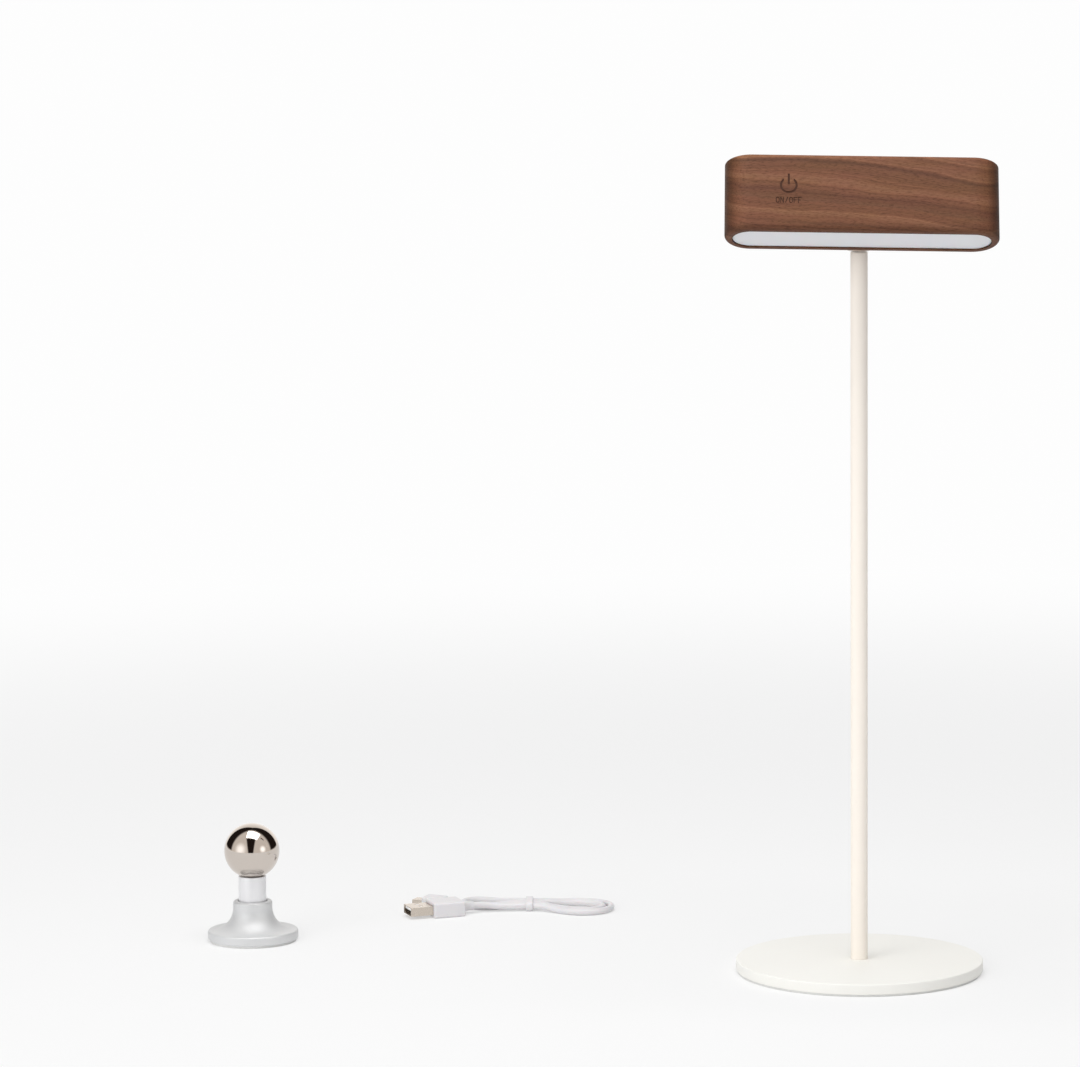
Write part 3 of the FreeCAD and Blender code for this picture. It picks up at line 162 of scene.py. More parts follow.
def outline(corners, radii, steps=8):
    """A closed outline with round corners. At each corner the arc starts and ends at radius / tan(half angle)
    along both sides, and its points turn about a centre at radius / sin(half angle) along the bisector."""
    corner = np.array(corners, float)
    radius = np.array(radii, float)[:, None]
    back = np.roll(corner, 1, axis=0) - corner
    ahead = np.roll(corner, -1, axis=0) - corner
    back /= np.linalg.norm(back, axis=1, keepdims=True)
    ahead /= np.linalg.norm(ahead, axis=1, keepdims=True)
    half = np.arccos(np.clip((back * ahead).sum(axis=1, keepdims=True), -1, 1)) / 2
    bisector = back + ahead
    bisector /= np.linalg.norm(bisector, axis=1, keepdims=True)
    centre = corner + bisector * radius / np.sin(half)
    first = corner + back * radius / np.tan(half) - centre
    last = corner + ahead * radius / np.tan(half) - centre
    turn = (math.pi - 2 * half)[:, None, :]
    share = np.linspace(0, 1, steps)[None, :, None]
    arc = (first[:, None, :] * np.sin((1 - share) * turn)
           + last[:, None, :] * np.sin(share * turn)) / np.sin(turn)
    return (centre[:, None, :] + arc).reshape(-1, corner.shape[1])


def turned(profile, straight=0.0, steps=64):
    """A profile of radius and height carried round Z. On the right half turn x = straight / 2 + r cos a, on
    the left half turn x = r cos a - straight / 2, and y = r sin a: a lathe's form, or a slot-shaped one."""
    half = np.linspace(-math.pi / 2, math.pi / 2, steps // 2 + 1)
    angle = np.concatenate((half, half + math.pi))
    side = np.repeat((0.5, -0.5), len(half)) * straight
    radius, height = np.array(profile, float).T
    x = side + radius[:, None] * np.cos(angle)
    y = radius[:, None] * np.sin(angle)
    z = np.broadcast_to(height[:, None], x.shape)
    return np.stack((x, y, z), axis=-1)


def piece(name, points, body, finish, place=Matrix.Identity(4), wrap=True, crease=40.0):
    """Makes a closed mesh from a grid of points whose columns wrap round, and whose rows wrap round too or
    end on the axis."""
    rows, columns = points.shape[:2]
    mesh = bpy.data.meshes.new(name)
    mesh.from_pydata(points.reshape(-1, 3).tolist(), [], grid_faces(rows, columns, wrap, True).tolist())
    return closed(name, mesh, body, finish, place, crease)


def merge(mesh):
    """Merges a mesh's doubled points at seams and poles, and turns its faces outwards."""
    work = bmesh.new()
    work.from_mesh(mesh)
    bmesh.ops.remove_doubles(work, verts=work.verts, dist=1e-6)
    bmesh.ops.dissolve_degenerate(work, edges=work.edges, dist=1e-7)
    bmesh.ops.recalc_face_normals(work, faces=work.faces)
    work.to_mesh(mesh)
    work.free()


def closed(name, mesh, body, finish, place=Matrix.Identity(4), crease=40.0):
    """Merges and shades a mesh, puts it in its place and lets it ride a body."""
    merge(mesh)
    mesh.transform(place)
    mesh.shade_smooth()
    mesh.set_sharp_from_angle(angle=math.radians(crease))
    made = bpy.data.objects.new(name, mesh)
    bpy.context.scene.collection.objects.link(made)
    mesh.materials.append(finish)
    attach(made, body)
    return made


def refined(node, body, finish, bevel=0.0):
    """A merged copy of a CAD node with smooth shading, and a fine bevel on its sharp edges if asked."""
    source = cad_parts[node]
    mesh = source.data.copy()
    mesh.name = node + "_fine"
    mesh.materials.clear()
    if "custom_normal" in mesh.attributes:
        mesh.attributes.remove(mesh.attributes["custom_normal"])
    made = closed(node + "_fine", mesh, body, finish, crease=30.0)
    if bevel:
        edge = made.modifiers.new("Broken edges", "BEVEL")
        edge.width = bevel
        edge.segments = 2
        edge.limit_method = "ANGLE"
        edge.angle_limit = math.radians(40)
    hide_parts(node)
    return made


# Materials

def add(material, kind, inputs=None, stops=None, **settings):
    """Adds one shader node with its settings. Each input takes a value or another node's output, and stops
    are a colour ramp's positions and colours."""
    node = material.node_tree.nodes.new("ShaderNode" + kind)
    for name, value in settings.items():
        setattr(node, name, value)
    for socket, value in (inputs or {}).items():
        if isinstance(value, bpy.types.NodeSocket):
            material.node_tree.links.new(value, node.inputs[socket])
        else:
            node.inputs[socket].default_value = value
    if stops:
        while len(node.color_ramp.elements) < len(stops):
            node.color_ramp.elements.new(0.5)
        for element, (position, value) in zip(node.color_ramp.elements, stops):
            element.position = position
            element.color = value
    return node


def begin(name, sockets):
    """A material whose Principled shader has these constants on its own sockets."""
    material = bpy.data.materials.new(name)
    material.use_nodes = True
    shader = material.node_tree.nodes["Principled BSDF"]
    for socket, value in sockets.items():
        shader.inputs[socket].default_value = value
    return material, shader


def link(material, output, socket):
    """Joins a node's output to a socket."""
    material.node_tree.links.new(output, socket)


def shade(value, factor):
    """A colour made lighter or darker by a factor."""
    return (*[min(1.0, channel * factor) for channel in value[:3]], 1.0)


# A noise's usual range, and the size of the broad mottle that every finish has

NOISE_LOW = 0.3
NOISE_HIGH = 0.7
MOTTLE = 25 * MM


def grained(name, base, grain, spread, roughness, bump, sockets=None, stretch=(1, 1, 1), place=None,
            swing=0.12):
    """A finish with a fine grain: the grain's size in millimetres, how far its colour spreads, its roughness
    and how deep its bump is in millimetres. Stretch draws the grain out along the axes of a place, and swing
    is how far the roughness varies."""
    values = {"Base Color": base, "Roughness": roughness}
    values.update(sockets or {})
    material, shader = begin(name, values)
    coords = add(material, "TexCoord").outputs["Object"]
    inward = (place or Matrix.Identity(4)).inverted()
    mapped = add(material, "Mapping", {"Vector": coords, "Location": inward.to_translation(),
                                       "Rotation": inward.to_euler()})
    drawn = add(material, "Mapping", {"Vector": mapped.outputs[0],
                                      "Scale": [1 / (MM * grain * factor) for factor in stretch]})
    fine = add(material, "TexNoise", {"Vector": drawn.outputs[0], "Scale": 1.0, "Detail": 3.0,
                                      "Roughness": 0.6})
    broad = add(material, "TexNoise", {"Vector": mapped.outputs[0], "Scale": 1 / MOTTLE, "Detail": 2.0})
    blend = add(material, "Math", {0: fine.outputs[0], 1: broad.outputs[0]}, operation="ADD")
    half = add(material, "Math", {0: blend.outputs[0], 1: 0.5}, operation="MULTIPLY")
    tone = add(material, "ValToRGB", {"Fac": half.outputs[0]},
               stops=((NOISE_LOW, shade(base, 1 - spread)), (NOISE_HIGH, shade(base, 1 + spread))))
    gloss = add(material, "MapRange", {"Value": half.outputs[0], "From Min": NOISE_LOW,
                                       "From Max": NOISE_HIGH, "To Min": roughness * (1 - swing),
                                       "To Max": min(1.0, roughness * (1 + swing))})
    relief = add(material, "Bump", {"Height": fine.outputs[0], "Strength": 1.0, "Distance": bump * MM})
    link(material, tone.outputs[0], shader.inputs["Base Color"])
    link(material, gloss.outputs[0], shader.inputs["Roughness"])
    link(material, relief.outputs[0], shader.inputs["Normal"])
    return material


def powder_coat(name, tone):
    """Steel with a sprayed and baked polyester powder coat: off-white and matte, with a very fine orange peel
    of about 0.6 mm that softens its highlights."""
    return grained(name, tone, 0.6, 0.012, 0.5, 0.004, {"IOR": 1.5})


# The walnut board's figure, in millimetres of the head's frame. A line's height falls by GRAIN_FALL x and
# GRAIN_CURVE x squared along the bar: level at the left end, 11 degrees at the right.

GRAIN_FALL = 0.10
GRAIN_CURVE = 0.00075
PITH_BEHIND = 60.0
PITH_BELOW = 95.0
BAND_WIDTH = 4.6
LINE_WIDTH = 1.1
# Length, depth, height and reach of the long swells, which move the lines by 2 mm, and of 0.4 mm ripples
SWELLS = ((62, 26, 14, 5.5), (13, 12, 5, 1.3))
# Pores are 0.2 mm wide and 2 to 4 mm long; they are drawn 0.45 mm wide so that they show
PORE = (2.2, 0.5, 0.45)
PORE_TURN = math.radians(-6.0)
# Patches of violet and olive cast
PATCH = (34, 12, 7)
# Distances of the two dark streaks from the pith line, and half their dark core's and whole width
STREAKS = (118.9, 133.2)
STREAK_CORE = 0.2
STREAK_EDGE = 2.1
# Heights where the painted shade along the lowest band, round the light's opening, and the painted highlight
# along the upper edge start and are full
LOW_PAINTED_SHADE = (-14.6, -17.4)
UPPER_PAINTED_HIGHLIGHT = (16.6, 18.3)
# Middle and half size of the sign's field, along the bar and up, and how deep its cut and its skin lie
SIGN_ALONG = (-34.4, 8.0)
SIGN_UP = (1.0, 8.5)
SIGN_CUT = 0.05
SIGN_SKIN = 0.5


def walnut():
    """Black walnut, planed, rounded and oiled: brown with fine growth lines that run level at the left end of
    the bar and fall towards the right, short open pores, darker end grain and a satin surface. Painted shade
    darkens the rounded ends, the right one most, and the lowest band round the light's opening, and a painted
    highlight makes the upper edge paler."""
    look = finishes()
    material, shader = begin("oiled_walnut", {"Base Color": look.walnut, "Roughness": 0.55, "IOR": 1.45,
                                              "Specular IOR Level": 0.25})
    inward = HEAD.inverted()
    texture = add(material, "TexCoord")
    local = add(material, "Mapping", {"Vector": texture.outputs["Object"],
                                      "Location": inward.to_translation() / MM,
                                      "Rotation": inward.to_euler(),
                                      "Scale": (1 / MM, 1 / MM, 1 / MM)}).outputs[0]
    place = add(material, "SeparateXYZ", {0: local})
    slope = add(material, "Math", {0: place.outputs["X"], 1: GRAIN_CURVE, 2: GRAIN_FALL},
                operation="MULTIPLY_ADD").outputs[0]
    level = add(material, "Math", {0: place.outputs["X"], 1: slope, 2: place.outputs["Z"]},
                operation="MULTIPLY_ADD").outputs[0]
    # Growth rings about the pith line, behind and below the bar's middle
    deep = add(material, "Math", {0: place.outputs["Y"], 1: PITH_BEHIND}, operation="SUBTRACT").outputs[0]
    high = add(material, "Math", {0: level, 1: PITH_BELOW}, operation="ADD").outputs[0]
    across = add(material, "CombineXYZ", {"X": deep, "Y": high}).outputs[0]
    ring = add(material, "VectorMath", {0: across}, operation="LENGTH").outputs["Value"]
    for length, depth, height, reach in SWELLS:
        stretched = add(material, "Mapping", {"Vector": local, "Scale": (1 / length, 1 / depth, 1 / height)})
        wave = add(material, "TexNoise", {"Vector": stretched.outputs[0], "Scale": 1.0, "Detail": 1.0})
        ring = add(material, "Math", {0: wave.outputs[0], 1: reach, 2: ring},
                   operation="MULTIPLY_ADD").outputs[0]
    # Colour bands and growth lines
    band_at = add(material, "Math", {0: ring, 1: 1 / BAND_WIDTH}, operation="MULTIPLY").outputs[0]
    band = add(material, "TexNoise", {"W": band_at, "Scale": 1.0, "Detail": 2.0, "Roughness": 0.5},
               noise_dimensions="1D").outputs[0]
    line_at = add(material, "Math", {0: ring, 1: 1 / LINE_WIDTH}, operation="MULTIPLY").outputs[0]
    line = add(material, "TexNoise", {"W": line_at, "Scale": 1.0, "Detail": 3.0, "Roughness": 0.8},
               noise_dimensions="1D").outputs[0]
    tone = add(material, "ValToRGB", {"Fac": band}, stops=(
        (0.2, look.walnut_dark), (0.38, shade(look.walnut, 0.88)), (0.5, look.walnut),
        (0.7, look.walnut_light)))
    lined = add(material, "MapRange", {"Value": line, "From Min": 0.32, "From Max": 0.62, "To Min": 0.78,
                                       "To Max": 1.07}).outputs[0]
    pore_room = add(material, "Mapping", {"Vector": local, "Rotation": (0, PORE_TURN, 0),
                                          "Scale": [1 / reach for reach in PORE]}).outputs[0]
    pore = add(material, "TexNoise", {"Vector": pore_room, "Scale": 1.0, "Detail": 2.0,
                                      "Roughness": 0.6}).outputs[0]
    pored = add(material, "MapRange", {"Value": pore, "From Min": 0.30, "From Max": 0.52, "To Min": 0.66,
                                       "To Max": 1.04}).outputs[0]
    # Where the surface faces along the bar it turns dark, partly as oiled end grain does and partly as
    # painted shade on the rounded ends, more at the right end as painted shade; painted shade darkens the
    # lowest 4 mm, round the light's opening, and a painted highlight makes the upper edge paler
    along = add(material, "VectorMath", {0: texture.outputs["Normal"], 1: HEAD.col[0].to_3d()},
                operation="DOT_PRODUCT").outputs["Value"]
    shares = [pored]
    for value, start, full, factor in ((along, -0.5, -0.95, 0.43), (along, 0.5, 0.95, 0.32),
                                       (place.outputs["Z"], *LOW_PAINTED_SHADE, 0.72), (place.outputs["Z"], *UPPER_PAINTED_HIGHLIGHT, 1.36)):
        shares.append(add(material, "MapRange", {"Value": value, "From Min": start, "From Max": full,
                                                 "To Min": 1.0, "To Max": factor}).outputs[0])
    for away in STREAKS:
        gap = add(material, "Math", {0: ring, 1: away}, operation="SUBTRACT").outputs[0]
        gap = add(material, "Math", {0: gap}, operation="ABSOLUTE").outputs[0]
        shares.append(add(material, "MapRange", {"Value": gap, "From Min": STREAK_CORE,
                                                 "From Max": STREAK_EDGE, "To Min": 0.72, "To Max": 1.0},
                          interpolation_type="SMOOTHSTEP").outputs[0])
    darker = lined
    for share in shares:
        darker = add(material, "Math", {0: darker, 1: share}, operation="MULTIPLY").outputs[0]
    cast_room = add(material, "Mapping", {"Vector": local,
                                          "Scale": [1 / reach for reach in PATCH]}).outputs[0]
    cast = add(material, "TexNoise", {"Vector": cast_room, "Scale": 1.0, "Detail": 2.0}).outputs[0]
    hue = add(material, "ValToRGB", {"Fac": cast}, stops=(
        (0.32, (1.0, 0.96, 1.03, 1.0)), (0.5, (1.0, 1.0, 1.0, 1.0)),
        (0.68, (0.97, 1.01, 0.92, 1.0)))).outputs[0]
    tinted = add(material, "Mix", {0: 1.0, 6: tone.outputs[0], 7: hue}, data_type="RGBA",
                 blend_type="MULTIPLY").outputs[2]
    worked = add(material, "VectorMath", {0: tinted, "Scale": darker}, operation="SCALE").outputs[0]
    # The engraved sign is burnt where the wood in its field lies below the front face
    face = -sizes().head_depth / 2 / MM
    groove = add(material, "Math", {0: place.outputs["Y"], 1: face + SIGN_CUT},
                 operation="GREATER_THAN").outputs[0]
    skin = add(material, "Math", {0: place.outputs["Y"], 1: face + SIGN_SKIN},
               operation="LESS_THAN").outputs[0]
    beside = add(material, "Math", {0: place.outputs["X"], 1: SIGN_ALONG[0], 2: SIGN_ALONG[1]},
                 operation="COMPARE").outputs[0]
    beyond = add(material, "Math", {0: place.outputs["Z"], 1: SIGN_UP[0], 2: SIGN_UP[1]},
                 operation="COMPARE").outputs[0]
    for share in (skin, beside, beyond):
        groove = add(material, "Math", {0: groove, 1: share}, operation="MULTIPLY").outputs[0]
    final = add(material, "Mix", {0: groove, 6: worked, 7: look.sign}, data_type="RGBA").outputs[2]
    satin = add(material, "MapRange", {"Value": pore, "From Min": 0.3, "From Max": 0.6, "To Min": 0.7,
                                       "To Max": 0.5}).outputs[0]
    depth = add(material, "Math", {0: lined, 1: pored}, operation="MULTIPLY").outputs[0]
    relief = add(material, "Bump", {"Height": depth, "Strength": 0.5, "Distance": 0.1 * MM})
    link(material, final, shader.inputs["Base Color"])
    link(material, satin, shader.inputs["Roughness"])
    link(material, relief.outputs[0], shader.inputs["Normal"])
    return material


def bright_nickel():
    """Steel ball with polished bright nickel plate: a warm mirror with hair-fine wipe marks."""
    return grained("bright_nickel_plate", finishes().nickel, 0.35, 0.02, 0.06, 0.0004,
                   {"Metallic": 1.0}, swing=0.5)


def satin_aluminium():
    """Turned aluminium, bead blasted and clear anodised: pale grey, evenly dull, with a 0.4 mm sparkle."""
    return grained("blasted_aluminium", finishes().aluminium, 0.4, 0.03, 0.56, 0.006, {"Metallic": 0.4})


def silver_post():
    """Turned aluminium, brushed along its length and clear lacquered: nearly white with a soft streak."""
    return grained("brushed_aluminium", linear("#EAEAEC"), 0.35, 0.025, 0.36, 0.003, {"Metallic": 0.45},
                   stretch=(1, 1, 14))


def cable_jacket():
    """Cord jacket, plugs and tie moulded in white soft PVC: smooth and slightly waxy, with a faint mottle."""
    return grained("white_soft_pvc", finishes().cable, 0.8, 0.015, 0.42, 0.004,
                   {"IOR": 1.5, "Subsurface Weight": 0.08, "Subsurface Scale": 0.001})


def frosted_acrylic():
    """Opal acrylic sheet, laser cut and frosted on its outer side: pale grey-white and waxy, with a soft
    gloss."""
    return grained("frosted_opal_acrylic", finishes().diffuser, 0.25, 0.01, 0.36, 0.002,
                   {"IOR": 1.49, "Subsurface Weight": 0.15, "Subsurface Scale": 0.002})


def plain_finishes():
    """Finishes of the CAD nodes that stay as they are, by the record's slot: common name, making and look."""
    return {
        # Closed-cell foam of the feet, die cut: white, dull and open-pored
        "foam": grained("white_foot_foam", linear("#DCDCDA"), 0.5, 0.06, 0.9, 0.06),
        # Closed-cell foam tape, die cut: charcoal, dull and open-pored
        "dark_foam": grained("die_cut_foam", linear("#4A4A4C"), 0.5, 0.18, 0.9, 0.06),
        # Zinc-plated machine screws and plugs, cold headed: cool grey with turning marks
        "steel": grained("zinc_plated_steel", linear("#B9BBBE"), 0.3, 0.05, 0.3, 0.003, {"Metallic": 1.0}),
        # Nylon bezel, injection moulded: black with a fine spark-eroded grain
        "black_nylon": grained("moulded_black_nylon", linear("#1D1D1F"), 0.35, 0.12, 0.5, 0.01),
        # ABS tray, injection moulded: white and smooth
        "white_plastic": grained("moulded_white_abs", linear("#E9E9E6"), 0.6, 0.015, 0.4, 0.004),
        # Polycarbonate light pipe, moulded clear: faintly blue with a polished end
        "clear_plastic": grained("clear_polycarbonate", linear("#DDE6EA"), 0.5, 0.02, 0.12, 0.001,
                                 {"Transmission Weight": 0.6, "IOR": 1.58}),
        # Glass-epoxy circuit board with white solder mask over its copper: the weave shows at 0.6 mm
        "circuit_board": grained("white_circuit_board", linear("#E4E6E3"), 0.6, 0.05, 0.35, 0.01,
                                 stretch=(4, 4, 0.8), place=HEAD),
        # White-light chips: yellow phosphor gel in a moulded cup
        "led_yellow": grained("phosphor_gel", linear("#E8C64A"), 0.3, 0.08, 0.3, 0.01),
        # Copper foil electrode, rolled: pink-brown with rolling lines
        "copper": grained("rolled_copper_foil", linear("#C98158"), 0.3, 0.08, 0.3, 0.003, {"Metallic": 1.0},
                          stretch=(14, 1, 1), place=HEAD),
        # Pouch cell in aluminium laminate, folded: dull silver with soft creases
        "cell_foil": grained("laminate_foil", linear("#B5B8BC"), 1.5, 0.06, 0.38, 0.04, {"Metallic": 0.9}),
        # Plug shells, stamped and nickel plated: warm grey with drawing lines
        "nickel": grained("stamped_nickel_shell", linear("#C9BFB4"), 0.25, 0.05, 0.26, 0.002,
                          {"Metallic": 1.0}, stretch=(8, 1, 1)),
        # Silicone wire sleeve, extruded: red-brown and dull
        "lead_sleeve": grained("silicone_sleeve", linear("#8C2F2A"), 0.6, 0.08, 0.55, 0.01),
    }


# Charging cable: the route's points in the cable's own frame, in millimetres

CORD_ROUTE = np.array((
    (-31.9, -7.1, 3.9), (-25.886, -4.911, 3.9), (-18.8, -4.0, 2.6), (-11.5, -3.3, 2.6),
    (-3.2, -3.0, 2.6), (5.2, -5.0, 2.6), (10.6, -9.0, 1.7), (17.0, -13.8, 1.7), (24.5, -16.2, 1.7),
    (32.4, -14.4, 1.7), (37.9, -8.2, 1.7), (39.4, -0.2, 1.7), (36.8, 7.2, 1.7), (30.4, 11.9, 1.7),
    (21.5, 13.4, 1.7), (12.0, 11.6, 1.7), (4.6, 9.4, 2.6), (-3.2, 8.8, 2.6), (-10.8, 10.4, 2.6),
    (-18.4, 14.1, 1.7), (-26.4, 18.5, 1.7), (-32.7, 18.8, 1.7), (-37.3, 14.6, 1.7), (-37.7, 8.7, 1.7),
    (-34.1, 4.2, 1.7), (-28.2, 3.0, 1.7), (-19.8, 3.8, 1.7), (-11.6, 4.8, 2.6), (-3.2, 4.9, 2.6),
    (6.2, 5.6, 2.6), (14.2, 8.0, 1.7), (22.2, 9.1, 1.7), (29.2, 7.5, 1.7), (34.2, 2.9, 1.7),
    (34.9, -4.0, 1.7), (30.5, -9.7, 1.7), (23.0, -11.0, 1.7), (15.6, -7.4, 1.7), (8.6, -2.3, 1.7),
    (3.6, 0.4, 2.6),
    (-3.2, 1.0, 2.6), (-11.9, 0.8, 2.6), (-20.0, -0.3, 1.7), (-27.6, -1.0, 1.7), (-33.7, 0.3, 2.2),
    (-37.902, 3.290, 2.9), (-42.6, 5.0, 2.9)))


class LAMP_OT_cable(bpy.types.Operator):
    """Lays the charging cord in its tied hank, with the tie and both plugs"""
    bl_idname = "lamp.cable"
    bl_label = "Charging cable"

    def execute(self, context):
        jacket = cable_jacket()
        steel = bpy.data.materials["stamped_nickel_shell"]
        curve = bpy.data.curves.new("charging_cord", "CURVE")
        curve.dimensions = "3D"
        curve.bevel_depth = sizes().cord_diameter / 2
        curve.bevel_resolution = 6
        curve.resolution_u = 10
        curve.use_fill_caps = True
        spline = curve.splines.new("NURBS")
        points = CORD_ROUTE * MM + np.array(CABLE.translation)
        spline.points.add(len(points) - 1)
        spline.points.foreach_set("co", np.column_stack((points, np.ones(len(points)))).ravel())
        spline.order_u = 3
        spline.use_endpoint_u = True
        curve.materials.append(jacket)
        cord = bpy.data.objects.new("charging_cord", curve)
        context.scene.collection.objects.link(cord)
        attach(cord, "stand")
        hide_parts("lead_usb", "cable_hank", "lead_micro")
        tie_edge, usb_edge, micro_edge = 0.2 * MM, 0.12 * MM, 0.1 * MM
        tie = refined("cable_tie", "stand", jacket, tie_edge)
        usb_body = refined("usb_a_body", "stand", jacket)
        micro_body = refined("micro_usb_body", "stand", jacket)
        usb_shell = refined("usb_a_shell", "stand", steel, usb_edge)
        micro_shell = refined("micro_usb_shell", "stand", steel, micro_edge)
        return {"FINISHED"}


class LAMP_OT_stand(bpy.types.Operator):
    """Turns the coated base disc and pole, and the plated ball on top"""
    bl_idname = "lamp.stand"
    bl_label = "Base, pole and ball"

    def execute(self, context):
        coat = powder_coat("white_powder_coat", finishes().base_coat)
        rim = sizes().base_diameter / 2
        low, high = (corner.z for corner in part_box("base_plate"))
        foot, top = (corner.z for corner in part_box("pole_tube"))
        pole = sizes().pole_diameter / 2
        bore = 3.1 * MM
        socket = pole + 0.05 * MM
        # The base is drilled and countersunk from below for the screw that holds the pole
        drilled = 2.7 * MM
        sunk = 4.9 * MM
        sink_depth = 2.6 * MM
        profile = outline(((drilled, foot), (socket, foot), (socket, high), (rim, high), (rim, low),
                           (sunk, low), (drilled, low + sink_depth)),
                          (0, 0, 0.15 * MM, sizes().base_round, sizes().base_round, 0, 0))
        disc = piece("base_disc", turned(profile, steps=192), "stand", coat)
        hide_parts("base_plate")
        profile = outline(((bore, foot), (pole, foot), (pole, top), (bore, top)),
                          (0, 0.1 * MM, 0.4 * MM, 0.1 * MM))
        tube = piece("pole", turned(profile, steps=64), "stand",
                     powder_coat("cream_powder_coat", finishes().pole_coat))
        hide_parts("pole_tube")
        flat = 4.4 * MM
        stud = 2.05 * MM
        stud_depth = 8 * MM
        ball = piece("chromed_ball", turned(ball_profile(flat, stud, stud_depth), steps=128), "ball",
                     bright_nickel(), Matrix.Translation(BALL_CENTRE), wrap=False)
        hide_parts("steel_ball")
        return {"FINISHED"}


def ball_profile(flat, bore, depth):
    """A ball's profile about its centre: down from its highest point to a flat of the given radius below,
    then in to a bore, up the bore and to the axis. Points on the ball are r = R cos e, z = R sin e."""
    radius = sizes().ball_diameter / 2
    lowest = -math.acos(flat / radius)
    rise = np.linspace(math.pi / 2, lowest, 72)
    skin = np.column_stack((radius * np.cos(rise), radius * np.sin(rise)))
    skin[0, 0] = 0.0
    floor = radius * math.sin(lowest)
    return np.vstack((skin, ((bore, floor), (bore, floor + depth), (0, floor + depth))))


class LAMP_OT_mount(bpy.types.Operator):
    """Turns the spare ball mount: flared aluminium foot, post and plated ball"""
    bl_idname = "lamp.mount"
    bl_label = "Spare ball mount"

    def execute(self, context):
        # Radii and heights in millimetres: the screw's hole and the room for its head, the foot's rim and
        # flare, the neck with the seat that holds the post, and the post
        hole, head_room, rim, neck, seat, post = 2.7, 4.7, 22.5, 9.75, 7.3, 6.9
        foot_low, head_top, rim_top, seat_floor, neck_top = 1.0, 5.0, 5.6, 17.0, 20.2
        flare = 11.0
        profile = outline(((hole, seat_floor), (seat, seat_floor), (seat, neck_top), (neck, neck_top),
                           (neck, rim_top), (rim, rim_top), (rim, foot_low), (head_room, foot_low),
                           (head_room, head_top), (hole, head_top)),
                          (0, 0, 0.3, 1.2, flare, 1.0, 1.0, 0, 0, 0), steps=14) * MM
        foot = piece("mount_foot", turned(profile, steps=160), "stand", satin_aluminium(),
                     MOUNT, crease=50.0)
        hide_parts("mount_base")
        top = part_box("mount_post")[1].z / MM
        profile = outline(((hole, seat_floor), (post, seat_floor), (post, top), (hole, top)),
                          (0, 0.3, 0.25, 0)) * MM
        stem = piece("mount_stem", turned(profile, steps=96), "stand", silver_post(),
                     MOUNT)
        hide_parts("mount_post")
        flat = 5.5 * MM
        bore = 2.55 * MM
        bore_depth = 9 * MM
        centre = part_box("mount_ball")[1].z - sizes().ball_diameter / 2
        ball = piece("mount_chromed_ball", turned(ball_profile(flat, bore, bore_depth), steps=128), "stand",
                     bpy.data.materials["bright_nickel_plate"],
                     MOUNT @ Matrix.Translation((0, 0, centre)), wrap=False)
        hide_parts("mount_ball")
        return {"FINISHED"}


class LAMP_OT_head(bpy.types.Operator):
    """Finishes the walnut bar and lays the frosted diffuser in its lower face"""
    bl_idname = "lamp.head"
    bl_label = "Walnut head and diffuser"

    def execute(self, context):
        refined("wood_shell", "head", walnut())
        lamp = sizes()
        gap = 0.15 * MM
        recess = 0.6 * MM
        thickness = 1.6 * MM
        radius = lamp.head_depth / 2 - lamp.head_wall - gap
        straight = lamp.head_length - lamp.head_depth
        low = -lamp.head_height / 2 + recess
        high = low + thickness
        edge = outline(((0, high), (0, low), (radius, low), (radius, high)), (0, 0, 0.3 * MM, 0.1 * MM))
        sheet = piece("opal_diffuser", turned(edge, straight, steps=96), "head",
                      frosted_acrylic(), HEAD)
        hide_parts("diffuser")
        return {"FINISHED"}


class LAMP_OT_inner_parts(bpy.types.Operator):
    """Gives every CAD node that stays its own finish"""
    bl_idname = "lamp.inner_parts"
    bl_label = "Screws, boards and other CAD nodes"

    def execute(self, context):
        finish = plain_finishes()
        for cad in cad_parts.values():
            for place in cad.material_slots:
                place.material = finish.get(place.material.name, place.material)
        return {"FINISHED"}


# Studio, in metres: soft boxes by name, place, what they point at, their panel and whether shiny pieces
# mirror them, the camera's place and its yaw, pitch and roll in degrees, and the white that the camera sees

SOFT_BOXES = (("key", (-1.35, -1.45, 0.72), (-0.05, 0, 0.2), (1.3, 1.3), False),
              ("fill", (1.35, -1.2, 0.4), (-0.05, 0, 0.2), (0.5, 0.5), False),
              ("top", (-0.1, -0.2, 1.6), (-0.05, 0.05, 0.1), (1.2, 1.0), True))
CAMERA_PLACE = (-0.1263, -1.9960, 0.4320)
CAMERA_TURN = (-0.715, 6.295, -0.490)
SEEN_WHITE = 0.985


